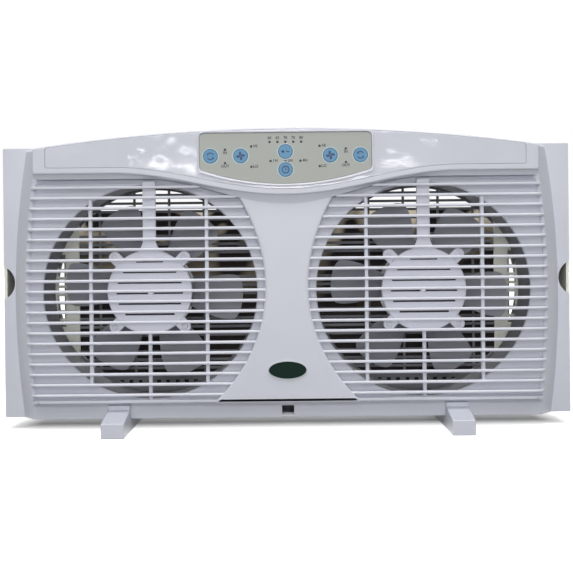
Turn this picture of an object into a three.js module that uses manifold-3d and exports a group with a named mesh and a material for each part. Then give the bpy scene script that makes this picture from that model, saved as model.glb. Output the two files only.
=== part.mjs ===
// Twin window fan with an electronic control panel, in millimetres, +Z up.
// The front faces -Y, X runs to the right, and the feet stand on z = 0.
// Pieces of one fan are built round their own shaft, which runs along Y.

import * as THREE from 'three';
import { mergeVertices } from 'three/addons/utils/BufferGeometryUtils.js';
import Module from 'manifold-3d';

const wasm = await Module();
wasm.setup();

// ---------------------------------------------------------------- driving dimensions

// air ways: the blades set the round openings, and the openings set the frame
const bladeRadius = 101.5;
const bladeClearance = 17.5;
const openingGap = 66;
const sideMargin = 49;
const bottomMargin = 22;
const topMargin = 44;
const footClearance = 14;

// walls and fits
const wall = 2.5;
const seatGap = 0.3;
const overcut = 1;
const roundSegments = 32;

// front-to-back depths
const flangeFrontY = -8;
const plateauDepth = 20;
const grilleDepth = 16;
const podProud = 6;
const rearDepth = 54;

// bowed body of the front housing and its cover
const flangeWidth = 13;
const slopeRun = 16;
const plateauBow = 10;
const cornerDrop = 4.4;
const archRise = 20;
const sideSteps = 6;
const archSteps = 12;

// wave-shaped ledge under the control pod, measured down from the top of the frame
const waveDrop = 33;
const waveDip = 25;
const waveSpan = 190;
const ledgeDrop = 38;
const ledgeDip = 29;
const ledgeSpan = 155;
const waveSteps = 20;
const ledgeSteps = 28;

// slatted grille
const grilleSillHeight = 18.4;
const firstSlatDrop = 47.4;
const slatPitch = 11.43;
const slatThickness = 3.3;
const slatDepth = 5;
const grilleRounding = 11;
const grilleWall = 3;
const grilleRimWidth = 4;
const grilleRimDepth = 3;
const grilleInset = 1;
const grilleRibOffset = 64;
const grilleRibWidth = 4;
const grilleRibDepth = 5;
const islandArcShift = 41;
const islandArcRise = 4;
const islandArcMargin = 49.6;
const islandSteps = 9;

// duct and rear grille
const ductWall = 2.5;
const loomNotchWidth = 6;
const loomNotchDepth = 4.5;
const rearBarPitch = 9.7;
const rearBarThickness = 3;
const rearBarDepth = 2.2;
const rearBarInset = 0.5;
const rearUprightPitch = 41;
const rearUprightShift = 14;
const rearRingWidth = 4;
const rearLipWidth = 4;
const rearLipDepth = 2.5;
const rearSillWidth = 18.2;
const sillHoleWidth = 5.3;
const sillHoleHeight = 4;
const sillHolePitch = 10.9;
const sillHoleCount = 9;
const sillHoleInset = 3;

// motor, its cover and their screws
const coverRadius = 47;
const coverThickness = 5.5;
const coverRim = 2;
const coverEdge = 1.5;
const lugOffset = 38.5;
const lugRadius = 6.6;
const lugSetback = 1;
const coverSlotCount = 6;
const coverSlotPitch = 11.7;
const coverSlotHeight = 2.2;
const coverSlotMargin = 10;
const coverSlotShift = 4.5;
const armWidth = 14.4;
const armRootWidth = 23;
const armFlare = 8;
const armSetback = 0.5;
const strutWidth = 4;
const armOverlap = 4;
const motorRadius = 37;
const motorLength = 32;
const motorFlange = 3;
const motorEarInset = 1;
const screwRadius = 1.6;
const screwHeadRadius = 3.3;
const screwHeadHeight = 1.8;
const screwClearance = 0.4;
const screwSegments = 6;

// rotor
const shaftRadius = 4;
const shaftLength = 56;
const shaftSetback = 4;
const shaftRunningGap = 0.35;
const shaftSegments = 12;
const hubRadius = 46;
const hubDepth = 30;
const hubStandoff = 20;
const hubWall = 2.5;
const hubEdge = 2;
const hubBossRadius = 9;
const hubSegments = 24;
const bladeCount = 6;
const bladeStartAngle = -5;
const bladeRootChord = 34;
const bladeTipChord = 56;
const bladeRootPitch = 38;
const bladeTipPitch = 23;
const bladeThickness = 2;
const bladeCamber = 0.06;
const bladeTipRound = 4.2;
const bladeSwell = 0.62;
const bladeStations = 3;
const bladeChordSteps = 2;
const bearingRadius = 9;
const bearingWidth = 4;
const nutRadius = 8;
const nutLength = 6;

// screws and posts of the housing
const housingScrewSideInset = 88;
const housingScrewEndInset = 15.5;
const middleScrewDrop = 45;
const middleScrewRise = 70;
const bossRadius = 4.5;
const pilotDepth = 14;
const pilotSpare = 2;
const postRadius = 3;
const postSegments = 8;
const lugSegments = 12;

// side extenders and finger notches
const extenderWidth = 77;
const extenderThickness = 3;
const extenderFlange = 3;
const extenderClearance = 0.5;
const extenderBar = 16;
const extenderWindowWidth = 9;
const extenderWindowCount = 9;
const extenderRibCount = 3;
const extenderRibPitch = 12;
const extenderRibWidth = 1.6;
const extenderRibDepth = 1;
const extenderRibInset = 9.6;
const extenderTravel = 48;
const stopHeight = 9;
const stopInset = 1;
const railHeight = 4;
const railDepth = 2.4;
const notchChord = 37;
const notchDepth = 12.5;
const notchSegments = 28;

// control pod, panel and keys, with heights measured down from the top of the panel
const podWall = 3;
const podEdge = 1.5;
const panelTopMargin = 5.4;
const panelHalfWidth = 94;
const panelHeight = 39.7;
const panelDip = 16;
const panelThickness = 1.6;
const panelProud = 0.4;
const panelCorner = 5;
const panelLedge = 2.5;
const panelCornerSteps = 3;
const panelLowSteps = 10;
const fasciaThickness = 1.5;
const fasciaSideInset = 13;
const fasciaTopInset = 1.8;
const fasciaLowInset = 7;
const rimWidth = 2.4;
const rimProud = 1;
const keyRadius = 7.6;
const keyGap = 0.3;
const keyProud = 0.4;
const keyTravel = 0.8;
const keyFlangeWidth = 1;
const keyFlangeDepth = 1.2;
const keyStemRadius = 2.5;
const keySegments = 12;
const innerKeyOffset = 49;
const outerKeyOffset = 82;
const sideKeyDrop = 25.2;
const upperKeyDrop = 20.7;
const lowerKeyDrop = 40.5;
const timerLampPitch = 8.65;
const timerLampDrop = 10.2;
const hourLampPitch = 16.3;
const hourLampDrop = 31;
const flowLampOffset = 66;
const flowLampDrops = [18.2, 33];
const speedLampOffset = 37.3;
const speedLampDrops = [14.9, 37.1];

// boards
const boardThickness = 1.6;
const controlBoardDepth = 12;
const controlBoardMargin = 5;
const controlBoardTopInset = 2.2;
const controlBoardHeight = 40;
const boardPostInset = 3;
const switchHeight = 3;
const switchWidth = 6;
const switchFreePlay = 0.2;
const lampWidth = 2.6;
const lampSetback = 4;
const powerBoardWidth = 112;
const powerBoardHeight = 56;
const powerBoardTopInset = 12;
const powerBoardStandoff = 8;
const relayWidth = 12;
const relayHeight = 18;
const relayDepth = 12.4;
const relayOffset = 16;
const relayInset = 4;
const coreWidth = 36;
const coreHeight = 28;
const coreDepth = 16;
const coilWidth = 24;
const coilHeight = 18;
const coilDepth = 26;
const transformerInset = 2;
const capacitorWidth = 28;
const capacitorHeight = 20;
const capacitorDepth = 14;
const capacitorOffset = 38;
const capacitorInset = 6;
const loomRadius = 1.6;

// feet
const footInset = 132.5;
const footWidth = 25;
const footDepth = 160;
const toeHeight = 16.5;
const heelRise = 8;
const riserHeight = 15.5;
const riserThickness = 5.4;

// badge, release notch, cord gland
const badgeHalfWidth = 15;
const badgeHalfHeight = 7.2;
const badgeHeight = 54;
const badgeThickness = 1.2;
const badgeSegments = 28;
const releaseNotchWidth = 13.4;
const releaseNotchHeight = 14;
const glandRadius = 6;
const glandBore = 3.4;
const glandFlange = 2;
const glandReach = 3;
const glandHeight = 40;
const glandSegments = 12;

// ---------------------------------------------------------------- derived places

const openingRadius = bladeRadius + bladeClearance;
const fanOffset = openingRadius + openingGap / 2;
const halfWidth = fanOffset + openingRadius + sideMargin;
const bottomZ = footClearance;
const fanZ = bottomZ + bottomMargin + openingRadius;
const topZ = fanZ + openingRadius + topMargin;
const middleZ = (bottomZ + topZ) / 2;

const floorY = flangeFrontY - plateauDepth;
const floorBackY = floorY + wall;
const slatY = floorY - grilleDepth;
const podY = slatY - podProud;
const rearY = flangeFrontY + rearDepth;
const rearWallY = rearY - wall;
const trayFrontY = flangeFrontY + wall + seatGap;
const coverSeatY = floorY - seatGap;

const lipFrontY = rearWallY - seatGap - rearLipDepth;
const railBackY = lipFrontY - seatGap;
const railFrontY = railBackY - railDepth;
const extenderBackY = railFrontY - seatGap;
const extenderFrontY = extenderBackY - extenderThickness;
const ductFrontY = floorBackY + seatGap;
const ductBackY = extenderFrontY - 2 * seatGap;
const ductRadius = openingRadius + ductWall;

const coverFrontY = coverSeatY - coverThickness;
const motorFrontY = coverSeatY + seatGap;
const motorBackY = motorFrontY + motorLength;
const hubBackY = motorBackY + hubStandoff;
const hubFrontY = hubBackY - hubDepth;
const shaftFrontY = motorFrontY + shaftSetback;
const shaftBackY = shaftFrontY + shaftLength;
const shaftBore = shaftRadius + shaftRunningGap;

const plateauHalfWidth = halfWidth - flangeWidth - slopeRun;
const plateauCornerZ = topZ - cornerDrop;
const apexZ = plateauCornerZ + archRise;
const grilleLowZ = bottomZ + grilleSillHeight;
const panelTopZ = apexZ - panelTopMargin;
const panelFrontY = podY - panelProud;
const panelBackY = panelFrontY + panelThickness;
const boardFrontY = podY + controlBoardDepth;
const powerBoardY = floorBackY + powerBoardStandoff;
const powerBoardBackY = powerBoardY + boardThickness;
const powerHighZ = topZ - powerBoardTopInset;
const powerLowZ = powerHighZ - powerBoardHeight;

const sides = [{ label: 'left', sign: -1 }, { label: 'right', sign: 1 }];

// ---------------------------------------------------------------- solid helpers

// A closed three.js geometry becomes a solid: doubles are merged, slivers dropped, faces turned out.
function solidFrom(geometry) {
  const plain = geometry.clone();
  for (const name of Object.keys(plain.attributes)) {
    if (name !== 'position') plain.deleteAttribute(name);
  }
  plain.clearGroups();
  const merged = mergeVertices(plain, 1e-4);
  const points = merged.attributes.position.array;
  const corners = [new THREE.Vector3(), new THREE.Vector3(), new THREE.Vector3()];
  const faces = [];
  let volume = 0;
  for (let i = 0; i < merged.index.count; i += 3) {
    const face = [0, 1, 2].map((k) => merged.index.getX(i + k));
    if (new Set(face).size < 3) continue;
    faces.push(face);
    const [a, b, c] = corners.map((corner, k) => corner.fromArray(points, face[k] * 3));
    volume += a.dot(b.cross(c));
  }
  const outward = volume < 0 ? faces.map(([p, q, r]) => [p, r, q]) : faces;
  return new wasm.Manifold(new wasm.Mesh({
    numProp: 3,
    vertProperties: new Float32Array(points),
    triVerts: new Uint32Array(outward.flat()),
  }));
}

// Coplanar faces are merged to this tolerance before the solid becomes a mesh again.
const flatTolerance = 0.002;

function geometryFrom(solid) {
  const mesh = solid.asOriginal().simplify(flatTolerance).getMesh();
  const geometry = new THREE.BufferGeometry();
  geometry.setAttribute('position', new THREE.BufferAttribute(new Float32Array(mesh.vertProperties), 3));
  geometry.setIndex(new THREE.BufferAttribute(new Uint32Array(mesh.triVerts), 1));
  const flat = geometry.toNonIndexed();
  flat.computeVertexNormals();
  return flat;
}

const join = (...solids) => solids.flat().reduce((whole, solid) => whole.add(solid));
const cut = (whole, ...tools) => tools.flat().reduce((rest, tool) => rest.subtract(tool), whole);
const range = (count) => Array.from({ length: count }, (_, i) => i);

// Offsets of a centred row: count places, pitch apart.
const centredRow = (count, pitch) => range(count).map((i) => (i - (count - 1) / 2) * pitch);

// Block between two corners. The corners of each axis come in either order.
function box(xa, xb, ya, yb, za, zb) {
  const geometry = new THREE.BoxGeometry(Math.abs(xb - xa), Math.abs(yb - ya), Math.abs(zb - za));
  geometry.translate((xa + xb) / 2, (ya + yb) / 2, (za + zb) / 2);
  return solidFrom(geometry);
}

// Round bar along Y.
function rod(radius, y0, y1, x = 0, z = 0, segments = roundSegments) {
  const geometry = new THREE.CylinderGeometry(radius, radius, y1 - y0, segments);
  geometry.translate(x, (y0 + y1) / 2, z);
  return solidFrom(geometry);
}

// Turned piece round Y, from a closed profile of [radius, y] points.
function turned(profile, segments = roundSegments) {
  const points = [...profile, profile[0]].map(([radius, y]) => new THREE.Vector2(radius, y));
  return solidFrom(new THREE.LatheGeometry(points, segments));
}

const tube = (outer, inner, y0, y1, segments = roundSegments) =>
  turned([[inner, y0], [outer, y0], [outer, y1], [inner, y1]], segments);

function extruded(outline, depth) {
  const shape = new THREE.Shape(outline.map(([u, v]) => new THREE.Vector2(u, v)));
  return new THREE.ExtrudeGeometry(shape, { depth, bevelEnabled: false });
}

// Outline of [x, z] points, thickened from y0 to y1.
function slab(outline, y0, y1) {
  const geometry = extruded(outline, y1 - y0);
  geometry.rotateX(Math.PI / 2);
  geometry.translate(0, y1, 0);
  return solidFrom(geometry);
}

// Outline of [y, z] points, thickened from x0 to x1.
function bar(outline, x0, x1) {
  const geometry = extruded(outline, x1 - x0);
  geometry.rotateX(Math.PI / 2);
  geometry.rotateZ(Math.PI / 2);
  geometry.translate(x0, 0, 0);
  return solidFrom(geometry);
}

// Outline of [x, y] points, thickened from z0 to z1.
function mast(outline, z0, z1) {
  const geometry = extruded(outline, z1 - z0);
  geometry.translate(0, 0, z0);
  return solidFrom(geometry);
}

// Skin over matching rings of [x, z] points, each at its own y, with both ends capped.
function loft(rings) {
  const count = rings[0].outline.length;
  const points = rings.flatMap(({ y, outline }) => outline.flatMap(([x, z]) => [x, y, z]));
  const faces = [];
  for (let low = 0; low < (rings.length - 1) * count; low += count) {
    for (const i of range(count)) {
      const j = (i + 1) % count;
      const high = low + count;
      faces.push(low + i, low + j, high + j, low + i, high + j, high + i);
    }
  }
  const last = (rings.length - 1) * count;
  const capOf = ({ outline }) => THREE.ShapeUtils.triangulateShape(
    outline.map(([x, z]) => new THREE.Vector2(x, z)), []);
  for (const [p, q, r] of capOf(rings[0])) faces.push(q, p, r);
  for (const [p, q, r] of capOf(rings.at(-1))) faces.push(last + p, last + q, last + r);
  const geometry = new THREE.BufferGeometry();
  geometry.setAttribute('position', new THREE.Float32BufferAttribute(points, 3));
  geometry.setIndex(faces);
  return solidFrom(geometry);
}

// ---------------------------------------------------------------- outlines

// Bowed outline of the front: flat bottom, bowed sides, arched top. inset draws it in all round.
function bodyOutline(halfMid, lowZ, inset = 0) {
  const highZ = plateauCornerZ - inset;
  const footZ = lowZ + inset;
  const midZ = (highZ + footZ) / 2;
  const reach = (highZ - footZ) / 2;
  const sideX = (z) => halfMid - inset - plateauBow * ((z - midZ) / reach) ** 2;
  const right = range(sideSteps + 1).map((i) => {
    const z = footZ + (highZ - footZ) * i / sideSteps;
    return [sideX(z), z];
  });
  const cornerX = sideX(highZ);
  const arch = range(archSteps - 1).map((i) => {
    const x = cornerX * (1 - 2 * (i + 1) / archSteps);
    return [x, highZ + archRise * (1 - (x / cornerX) ** 2)];
  });
  const left = right.map(([x, z]) => [-x, z]).reverse();
  return [...right, ...arch, ...left];
}

const plateauOutline = (inset = 0) => bodyOutline(plateauHalfWidth, bottomZ, inset);

// Smooth dip, 1 in the middle and 0 from the span outwards.
const bell = (x, span) => (Math.abs(x) < span ? (1 + Math.cos(Math.PI * x / span)) / 2 : 0);

const waveZ = (x) => topZ - waveDrop - waveDip * bell(x, waveSpan);
const ledgeZ = (x) => topZ - ledgeDrop - ledgeDip * bell(x, ledgeSpan);

// Outline of the control pod: arch above, wave below. Each edge has its own inset.
function podOutline(lowEdge, inset = 0, lowInset = inset, sideInset = inset) {
  const cornerX = plateauHalfWidth - plateauBow;
  const sideX = cornerX - sideInset;
  const top = range(archSteps + 1).map((i) => {
    const x = sideX * (1 - 2 * i / archSteps);
    return [x, plateauCornerZ - inset + archRise * (1 - (x / cornerX) ** 2)];
  });
  const low = range(waveSteps + 1).map((i) => {
    const x = sideX * (2 * i / waveSteps - 1);
    return [x, lowEdge(x) + lowInset];
  });
  return [...top, ...low];
}

// ---------------------------------------------------------------- nodes and finishes

const fan = new THREE.Group();

function addNode(parent, name, solid, finish) {
  const mesh = new THREE.Mesh(geometryFrom(solid), new THREE.MeshStandardMaterial(finish));
  mesh.name = name;
  parent.add(mesh);
}

// A group at a place of its own, for pieces that are built round their own axis.
function seatAt(parent, x, y, z) {
  const seat = new THREE.Group();
  seat.position.set(x, y, z);
  parent.add(seat);
  return seat;
}

const bodyPlastic = { color: 0xd9dae6, roughness: 0.38, metalness: 0 };
const glossPlastic = { color: 0xdcdfec, roughness: 0.12, metalness: 0 };
const shadePlastic = { color: 0x8e9093, roughness: 0.5, metalness: 0 };
const bladePlastic = { color: 0x9da0a6, roughness: 0.4, metalness: 0 };
const panelFilm = { color: 0xacb0a8, roughness: 0.55, metalness: 0 };
const keyBlue = { color: 0x69afdc, roughness: 0.4, metalness: 0 };
const badgeGreen = { color: 0x0b3324, roughness: 0.3, metalness: 0.1 };
const boardGreen = { color: 0x2f6b45, roughness: 0.6, metalness: 0 };
const darkPlastic = { color: 0x232426, roughness: 0.6, metalness: 0 };
const steel = { color: 0xb9bcc0, roughness: 0.35, metalness: 0.9 };
const bronze = { color: 0x9a7a45, roughness: 0.45, metalness: 0.8 };

// ---------------------------------------------------------------- front housing

const housingScrewX = halfWidth - housingScrewSideInset;
const housingScrews = [
  ...[-1, 1].flatMap((hand) => [
    [hand * housingScrewX, bottomZ + housingScrewEndInset],
    [hand * housingScrewX, topZ - housingScrewEndInset],
  ]),
  [0, fanZ - middleScrewDrop],
  [0, fanZ + middleScrewRise],
];
const bossBackY = rearWallY - seatGap;
const pilotRadius = screwRadius + screwClearance;
const powerPosts = [-1, 1].flatMap((hand) => [powerLowZ, powerHighZ].map((z) => [
  hand * (powerBoardWidth / 2 - postRadius),
  z + (z === powerLowZ ? postRadius : -postRadius),
]));

function makeFrontHousing() {
  const baseHalf = plateauHalfWidth + slopeRun;
  const flangeBackY = flangeFrontY + wall;
  const flange = join(
    box(-halfWidth, halfWidth, flangeFrontY, flangeBackY, bottomZ, topZ),
    slab(plateauOutline(), flangeFrontY, flangeBackY),
  );
  const hill = loft([
    { y: flangeFrontY, outline: bodyOutline(baseHalf, bottomZ) },
    { y: floorY, outline: plateauOutline() },
  ]);
  const hollow = loft([
    { y: flangeFrontY, outline: bodyOutline(baseHalf, bottomZ, wall) },
    { y: floorBackY, outline: plateauOutline(wall) },
  ]);
  const mouth = box(-plateauHalfWidth, plateauHalfWidth, flangeFrontY - overcut, flangeBackY + overcut,
    bottomZ + wall, plateauCornerZ - 2 * wall);
  const openings = sides.map(({ sign }) =>
    rod(openingRadius, floorY - overcut, floorBackY + overcut, sign * fanOffset, fanZ));
  const notchRadius = ((notchChord / 2) ** 2 + notchDepth ** 2) / (2 * notchDepth);
  const notches = sides.map(({ sign }) =>
    rod(notchRadius, flangeFrontY - overcut, flangeBackY + overcut,
      sign * (halfWidth - notchDepth + notchRadius), middleZ, notchSegments));
  const releaseNotch = box(-releaseNotchWidth / 2, releaseNotchWidth / 2, floorY - overcut,
    floorBackY + overcut, bottomZ - overcut, bottomZ + releaseNotchHeight);
  const bosses = housingScrews.map(([x, z]) =>
    rod(bossRadius, floorBackY - overcut, bossBackY, x, z, postSegments));
  const posts = powerPosts.map(([x, z]) =>
    rod(postRadius, floorBackY - overcut, powerBoardY - seatGap, x, z, postSegments));
  const pilots = housingScrews.map(([x, z]) =>
    rod(pilotRadius, bossBackY - pilotDepth - pilotSpare, bossBackY + overcut, x, z, screwSegments));
  const shell = cut(join(flange, hill), hollow, mouth, openings, notches, releaseNotch);
  return cut(join(shell, bosses, posts), pilots);
}

addNode(fan, 'front_housing', makeFrontHousing(), bodyPlastic);

// ---------------------------------------------------------------- rear housing

const pocketOuterX = halfWidth - notchDepth - overcut;
const pocketInnerX = pocketOuterX - wall;
const extenderInnerX = halfWidth - extenderWidth;

// Tray with a rear wall: sill channel below, head channel above, and the rails of the extenders.
function makeRearHousing() {
  const block = box(-halfWidth, halfWidth, trayFrontY, rearY, bottomZ, topZ);
  const hollow = box(-halfWidth - overcut, halfWidth + overcut, trayFrontY - overcut, rearWallY,
    bottomZ + wall, topZ - wall);
  const pocketWalls = sides.map(({ sign }) =>
    box(sign * pocketInnerX, sign * pocketOuterX, trayFrontY, extenderFrontY - seatGap,
      bottomZ + overcut, topZ - overcut));
  const rails = sides.flatMap(({ sign }) => {
    const inner = sign * (extenderInnerX - extenderTravel);
    const outer = sign * (halfWidth - 2 * extenderFlange);
    return [
      box(inner, outer, railFrontY, railBackY, bottomZ + overcut, bottomZ + wall + railHeight),
      box(inner, outer, railFrontY, railBackY, topZ - wall - railHeight, topZ - overcut),
    ];
  });
  const cutFrontY = rearWallY - overcut;
  const cutBackY = rearY + overcut;
  const apertures = sides.map(({ sign }) => rod(ductRadius, cutFrontY, cutBackY, sign * fanOffset, fanZ));
  const screwHoles = housingScrews.map(([x, z]) =>
    rod(pilotRadius, cutFrontY, cutBackY, x, z, screwSegments));
  const glandHole = rod(glandRadius + 2 * seatGap, cutFrontY, cutBackY,
    0, bottomZ + glandHeight, glandSegments);
  return cut(join(cut(block, hollow), pocketWalls, rails), apertures, screwHoles, glandHole);
}

addNode(fan, 'rear_housing', makeRearHousing(), bodyPlastic);

// ---------------------------------------------------------------- extenders

// Side panel that slides out: inner bar with a column of windows, stiffening ribs, end flange, stops.
function makeExtender(sign) {
  const lowZ = bottomZ + wall + extenderClearance;
  const highZ = topZ - wall - extenderClearance;
  const flangeX = halfWidth - extenderFlange;
  const flangeBackY = rearWallY - seatGap;
  const outline = [
    [extenderInnerX, extenderFrontY],
    [flangeX, extenderFrontY],
    [flangeX, trayFrontY],
    [halfWidth, trayFrontY],
    [halfWidth, flangeBackY],
    [flangeX, flangeBackY],
    [flangeX, extenderBackY],
    [extenderInnerX, extenderBackY],
  ].map(([x, y]) => [sign * x, y]);
  const windowX = extenderInnerX + extenderBar;
  const windowHalf = (rearBarPitch - rearBarThickness) / 2;
  const windows = centredRow(extenderWindowCount, rearBarPitch).map((z) =>
    box(sign * windowX, sign * (windowX + extenderWindowWidth),
      extenderFrontY - overcut, extenderBackY + overcut, fanZ + z - windowHalf, fanZ + z + windowHalf));
  const ribs = range(extenderRibCount).map((i) => {
    const x = sign * (flangeX - extenderRibInset - extenderRibPitch * i);
    return box(x - extenderRibWidth / 2, x + extenderRibWidth / 2, extenderBackY - extenderThickness / 2,
      extenderBackY + extenderRibDepth, lowZ + 2 * railHeight, highZ - 2 * railHeight);
  });
  const stopX = pocketInnerX - seatGap - extenderTravel;
  const stops = [lowZ + stopInset, highZ - stopInset - stopHeight].map((z) =>
    box(sign * (stopX - wall), sign * stopX, extenderFrontY - wall, extenderFrontY + extenderThickness / 2,
      z, z + stopHeight));
  return join(cut(mast(outline, lowZ, highZ), windows), ribs, stops);
}

for (const { label, sign } of sides) addNode(fan, `extender_${label}`, makeExtender(sign), shadePlastic);

// ---------------------------------------------------------------- front grille

const grilleOutline = (inset) => bodyOutline(plateauHalfWidth - grilleInset, grilleLowZ, inset);

// Shallow dome over the grille outline, with its front edge rounded in a few steps.
function grilleDome(offset, frontY, radius, steps) {
  const rounded = range(steps + 1).map((i) => {
    const a = Math.PI / 2 * i / steps;
    return {
      y: frontY + radius * (1 - Math.sin(a)),
      outline: grilleOutline(offset + radius * (1 - Math.cos(a))),
    };
  });
  return loft([{ y: coverSeatY, outline: grilleOutline(offset) }, ...rounded].reverse());
}

// Everything under the ledge of the pod, drawn down by drop.
function belowLedge(drop) {
  const edge = range(ledgeSteps + 1).map((i) => {
    const x = halfWidth * (1 - 2 * i / ledgeSteps);
    return [x, ledgeZ(x) - drop];
  });
  return slab([[-halfWidth, bottomZ], [halfWidth, bottomZ], ...edge], slatY - overcut, coverSeatY + overcut);
}

// Waisted outline of the plain panel between the fans, widened by inset towards its middle line.
function islandOutline(inset) {
  const low = grilleLowZ - overcut;
  const high = topZ - ledgeDrop;
  const centreZ = fanZ + islandArcRise;
  const radius = openingRadius + islandArcMargin + inset;
  const right = range(islandSteps + 1).map((i) => {
    const z = low + (high - low) * i / islandSteps;
    return [fanOffset + islandArcShift - Math.sqrt(radius ** 2 - (z - centreZ) ** 2), z];
  });
  return [...right, ...right.map(([x, z]) => [-x, z]).reverse()];
}

function makeFrontGrille() {
  const frontY = slatY - overcut;
  const backY = coverSeatY + overcut;
  const outer = grilleDome(0, slatY, grilleRounding, 2);
  const inner = grilleDome(grilleWall, slatY + slatDepth, grilleRounding - grilleWall, 1);

  const firstSlatZ = topZ - firstSlatDrop;
  const borderZ = grilleLowZ + grilleRimWidth;
  const slatCount = Math.floor((firstSlatZ - borderZ) / slatPitch) + 1;
  const slats = range(slatCount).map((k) => {
    const z = firstSlatZ - k * slatPitch;
    return box(-halfWidth, halfWidth, frontY, backY, z - slatThickness / 2, z + slatThickness / 2);
  });
  const border = box(-halfWidth, halfWidth, frontY, backY, bottomZ, borderZ);
  const slatted = cut(outer, inner)
    .intersect(join(slats, border))
    .subtract(slab(islandOutline(wall / 2), frontY, backY));

  const islandRoom = cut(
    slab(islandOutline(wall), slatY + wall, backY + overcut),
    box(-halfWidth, halfWidth, slatY, backY + 2 * overcut, 0, grilleLowZ + wall),
  );
  const island = outer.intersect(slab(islandOutline(0), frontY, backY)).subtract(islandRoom);

  const rimFrontY = coverSeatY - grilleRimDepth;
  const rimRoom = slab(grilleOutline(grilleRimWidth), rimFrontY - overcut, backY)
    .intersect(belowLedge(grilleRimWidth));
  const rim = cut(slab(grilleOutline(0), rimFrontY, coverSeatY), rimRoom);

  const ribHalf = Math.sqrt(openingRadius ** 2 - grilleRibOffset ** 2) + grilleWall;
  const ribs = sides.flatMap(({ sign }) => [-1, 1].map((hand) => {
    const x = sign * fanOffset + hand * grilleRibOffset;
    return box(x - grilleRibWidth / 2, x + grilleRibWidth / 2, slatY + slatDepth - overcut,
      slatY + slatDepth + grilleRibDepth, fanZ - ribHalf, fanZ + ribHalf);
  }));

  const carrierEnd = openingRadius + armOverlap + seatGap;
  const carrierFrontY = coverFrontY + armSetback - seatGap;
  const carrierRoom = sides.flatMap(({ sign }) => {
    const x = sign * fanOffset;
    const armHalf = armWidth / 2 + seatGap;
    const strutHalf = strutWidth / 2 + seatGap;
    return [
      box(x - armHalf, x + armHalf, carrierFrontY, backY, fanZ, fanZ + carrierEnd),
      box(x - strutHalf, x + strutHalf, carrierFrontY, backY, fanZ - carrierEnd, fanZ),
    ];
  });
  return cut(join(slatted, island, rim, ribs).intersect(belowLedge(seatGap)), carrierRoom);
}

addNode(fan, 'front_grille', makeFrontGrille(), bodyPlastic);

function makeBadge() {
  const outline = range(badgeSegments).map((i) => {
    const a = 2 * Math.PI * i / badgeSegments;
    return [badgeHalfWidth * Math.cos(a), bottomZ + badgeHeight + badgeHalfHeight * Math.sin(a)];
  });
  return slab(outline, slatY - seatGap - badgeThickness, slatY - seatGap);
}

addNode(fan, 'badge', makeBadge(), badgeGreen);

// ---------------------------------------------------------------- control pod

const controlBoardHalf = panelHalfWidth + controlBoardMargin;
const controlBoardTopZ = panelTopZ - controlBoardTopInset;
const controlBoardLowZ = controlBoardTopZ - controlBoardHeight;

// Grey panel: flat top with rounded corners, dipping lower edge. A negative inset widens it.
function panelOutline(inset = 0) {
  const half = panelHalfWidth - inset;
  const top = panelTopZ - inset;
  const cornerZ = panelTopZ - panelHeight + inset;
  const radius = Math.max(panelCorner - inset, 1);
  const low = range(panelLowSteps + 1).map((i) => {
    const x = half * (2 * i / panelLowSteps - 1);
    return [x, cornerZ - panelDip * (1 - (x / half) ** 2)];
  });
  const corner = (hand, start) => range(panelCornerSteps + 1).map((i) => {
    const a = start + Math.PI / 2 * i / panelCornerSteps;
    return [hand * (half - radius) + radius * Math.cos(a), top - radius + radius * Math.sin(a)];
  });
  return [...low, ...corner(1, 0), ...corner(-1, Math.PI / 2)];
}

const fasciaOutline = (extra = 0) =>
  podOutline(waveZ, fasciaTopInset - extra, fasciaLowInset - extra, fasciaSideInset - extra);

function makeControlPod() {
  const stepY = slatY - seatGap;
  const recessBackY = podY + fasciaThickness + seatGap;
  const skin = loft([
    { y: podY, outline: podOutline(waveZ, podEdge) },
    { y: podY + podEdge, outline: podOutline(waveZ) },
    { y: stepY, outline: podOutline(ledgeZ) },
    { y: coverSeatY, outline: podOutline(ledgeZ) },
  ]);
  const hollow = loft([
    { y: podY + podWall, outline: podOutline(waveZ, podWall) },
    { y: stepY, outline: podOutline(ledgeZ, podWall) },
    { y: coverSeatY + overcut, outline: podOutline(ledgeZ, podWall) },
  ]);
  const recess = slab(fasciaOutline(seatGap), podY - overcut, recessBackY);
  const window = slab(panelOutline(panelLedge), podY, podY + podWall + overcut);
  const postX = controlBoardHalf - boardPostInset;
  const posts = [-postX, postX].flatMap((x) =>
    [controlBoardLowZ + boardPostInset, controlBoardTopZ - boardPostInset].map((z) =>
      rod(postRadius, podY + podWall - overcut / 2, boardFrontY - seatGap, x, z, postSegments)));
  return join(cut(skin, hollow, recess, window), posts);
}

addNode(fan, 'control_pod', makeControlPod(), bodyPlastic);

function makeFascia() {
  const backY = podY + fasciaThickness;
  const rimFrontY = podY - rimProud;
  const plate = slab(fasciaOutline(), podY, backY);
  const rim = slab(panelOutline(-seatGap - rimWidth), rimFrontY, backY)
    .intersect(slab(fasciaOutline(), rimFrontY - overcut, backY));
  return cut(join(plate, rim), slab(panelOutline(-seatGap), rimFrontY - overcut, backY + overcut));
}

addNode(fan, 'fascia_trim', makeFascia(), glossPlastic);

const keys = [
  { name: 'key_exchange_left', x: -outerKeyOffset, z: panelTopZ - sideKeyDrop },
  { name: 'key_speed_left', x: -innerKeyOffset, z: panelTopZ - sideKeyDrop },
  { name: 'key_set', x: 0, z: panelTopZ - upperKeyDrop },
  { name: 'key_timer', x: 0, z: panelTopZ - lowerKeyDrop },
  { name: 'key_speed_right', x: innerKeyOffset, z: panelTopZ - sideKeyDrop },
  { name: 'key_exchange_right', x: outerKeyOffset, z: panelTopZ - sideKeyDrop },
];

function makeControlPanel() {
  const holes = keys.map(({ x, z }) =>
    rod(keyRadius + keyGap, panelFrontY - overcut, panelBackY + overcut, x, z, keySegments));
  return cut(slab(panelOutline(), panelFrontY, panelBackY), holes);
}

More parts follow.
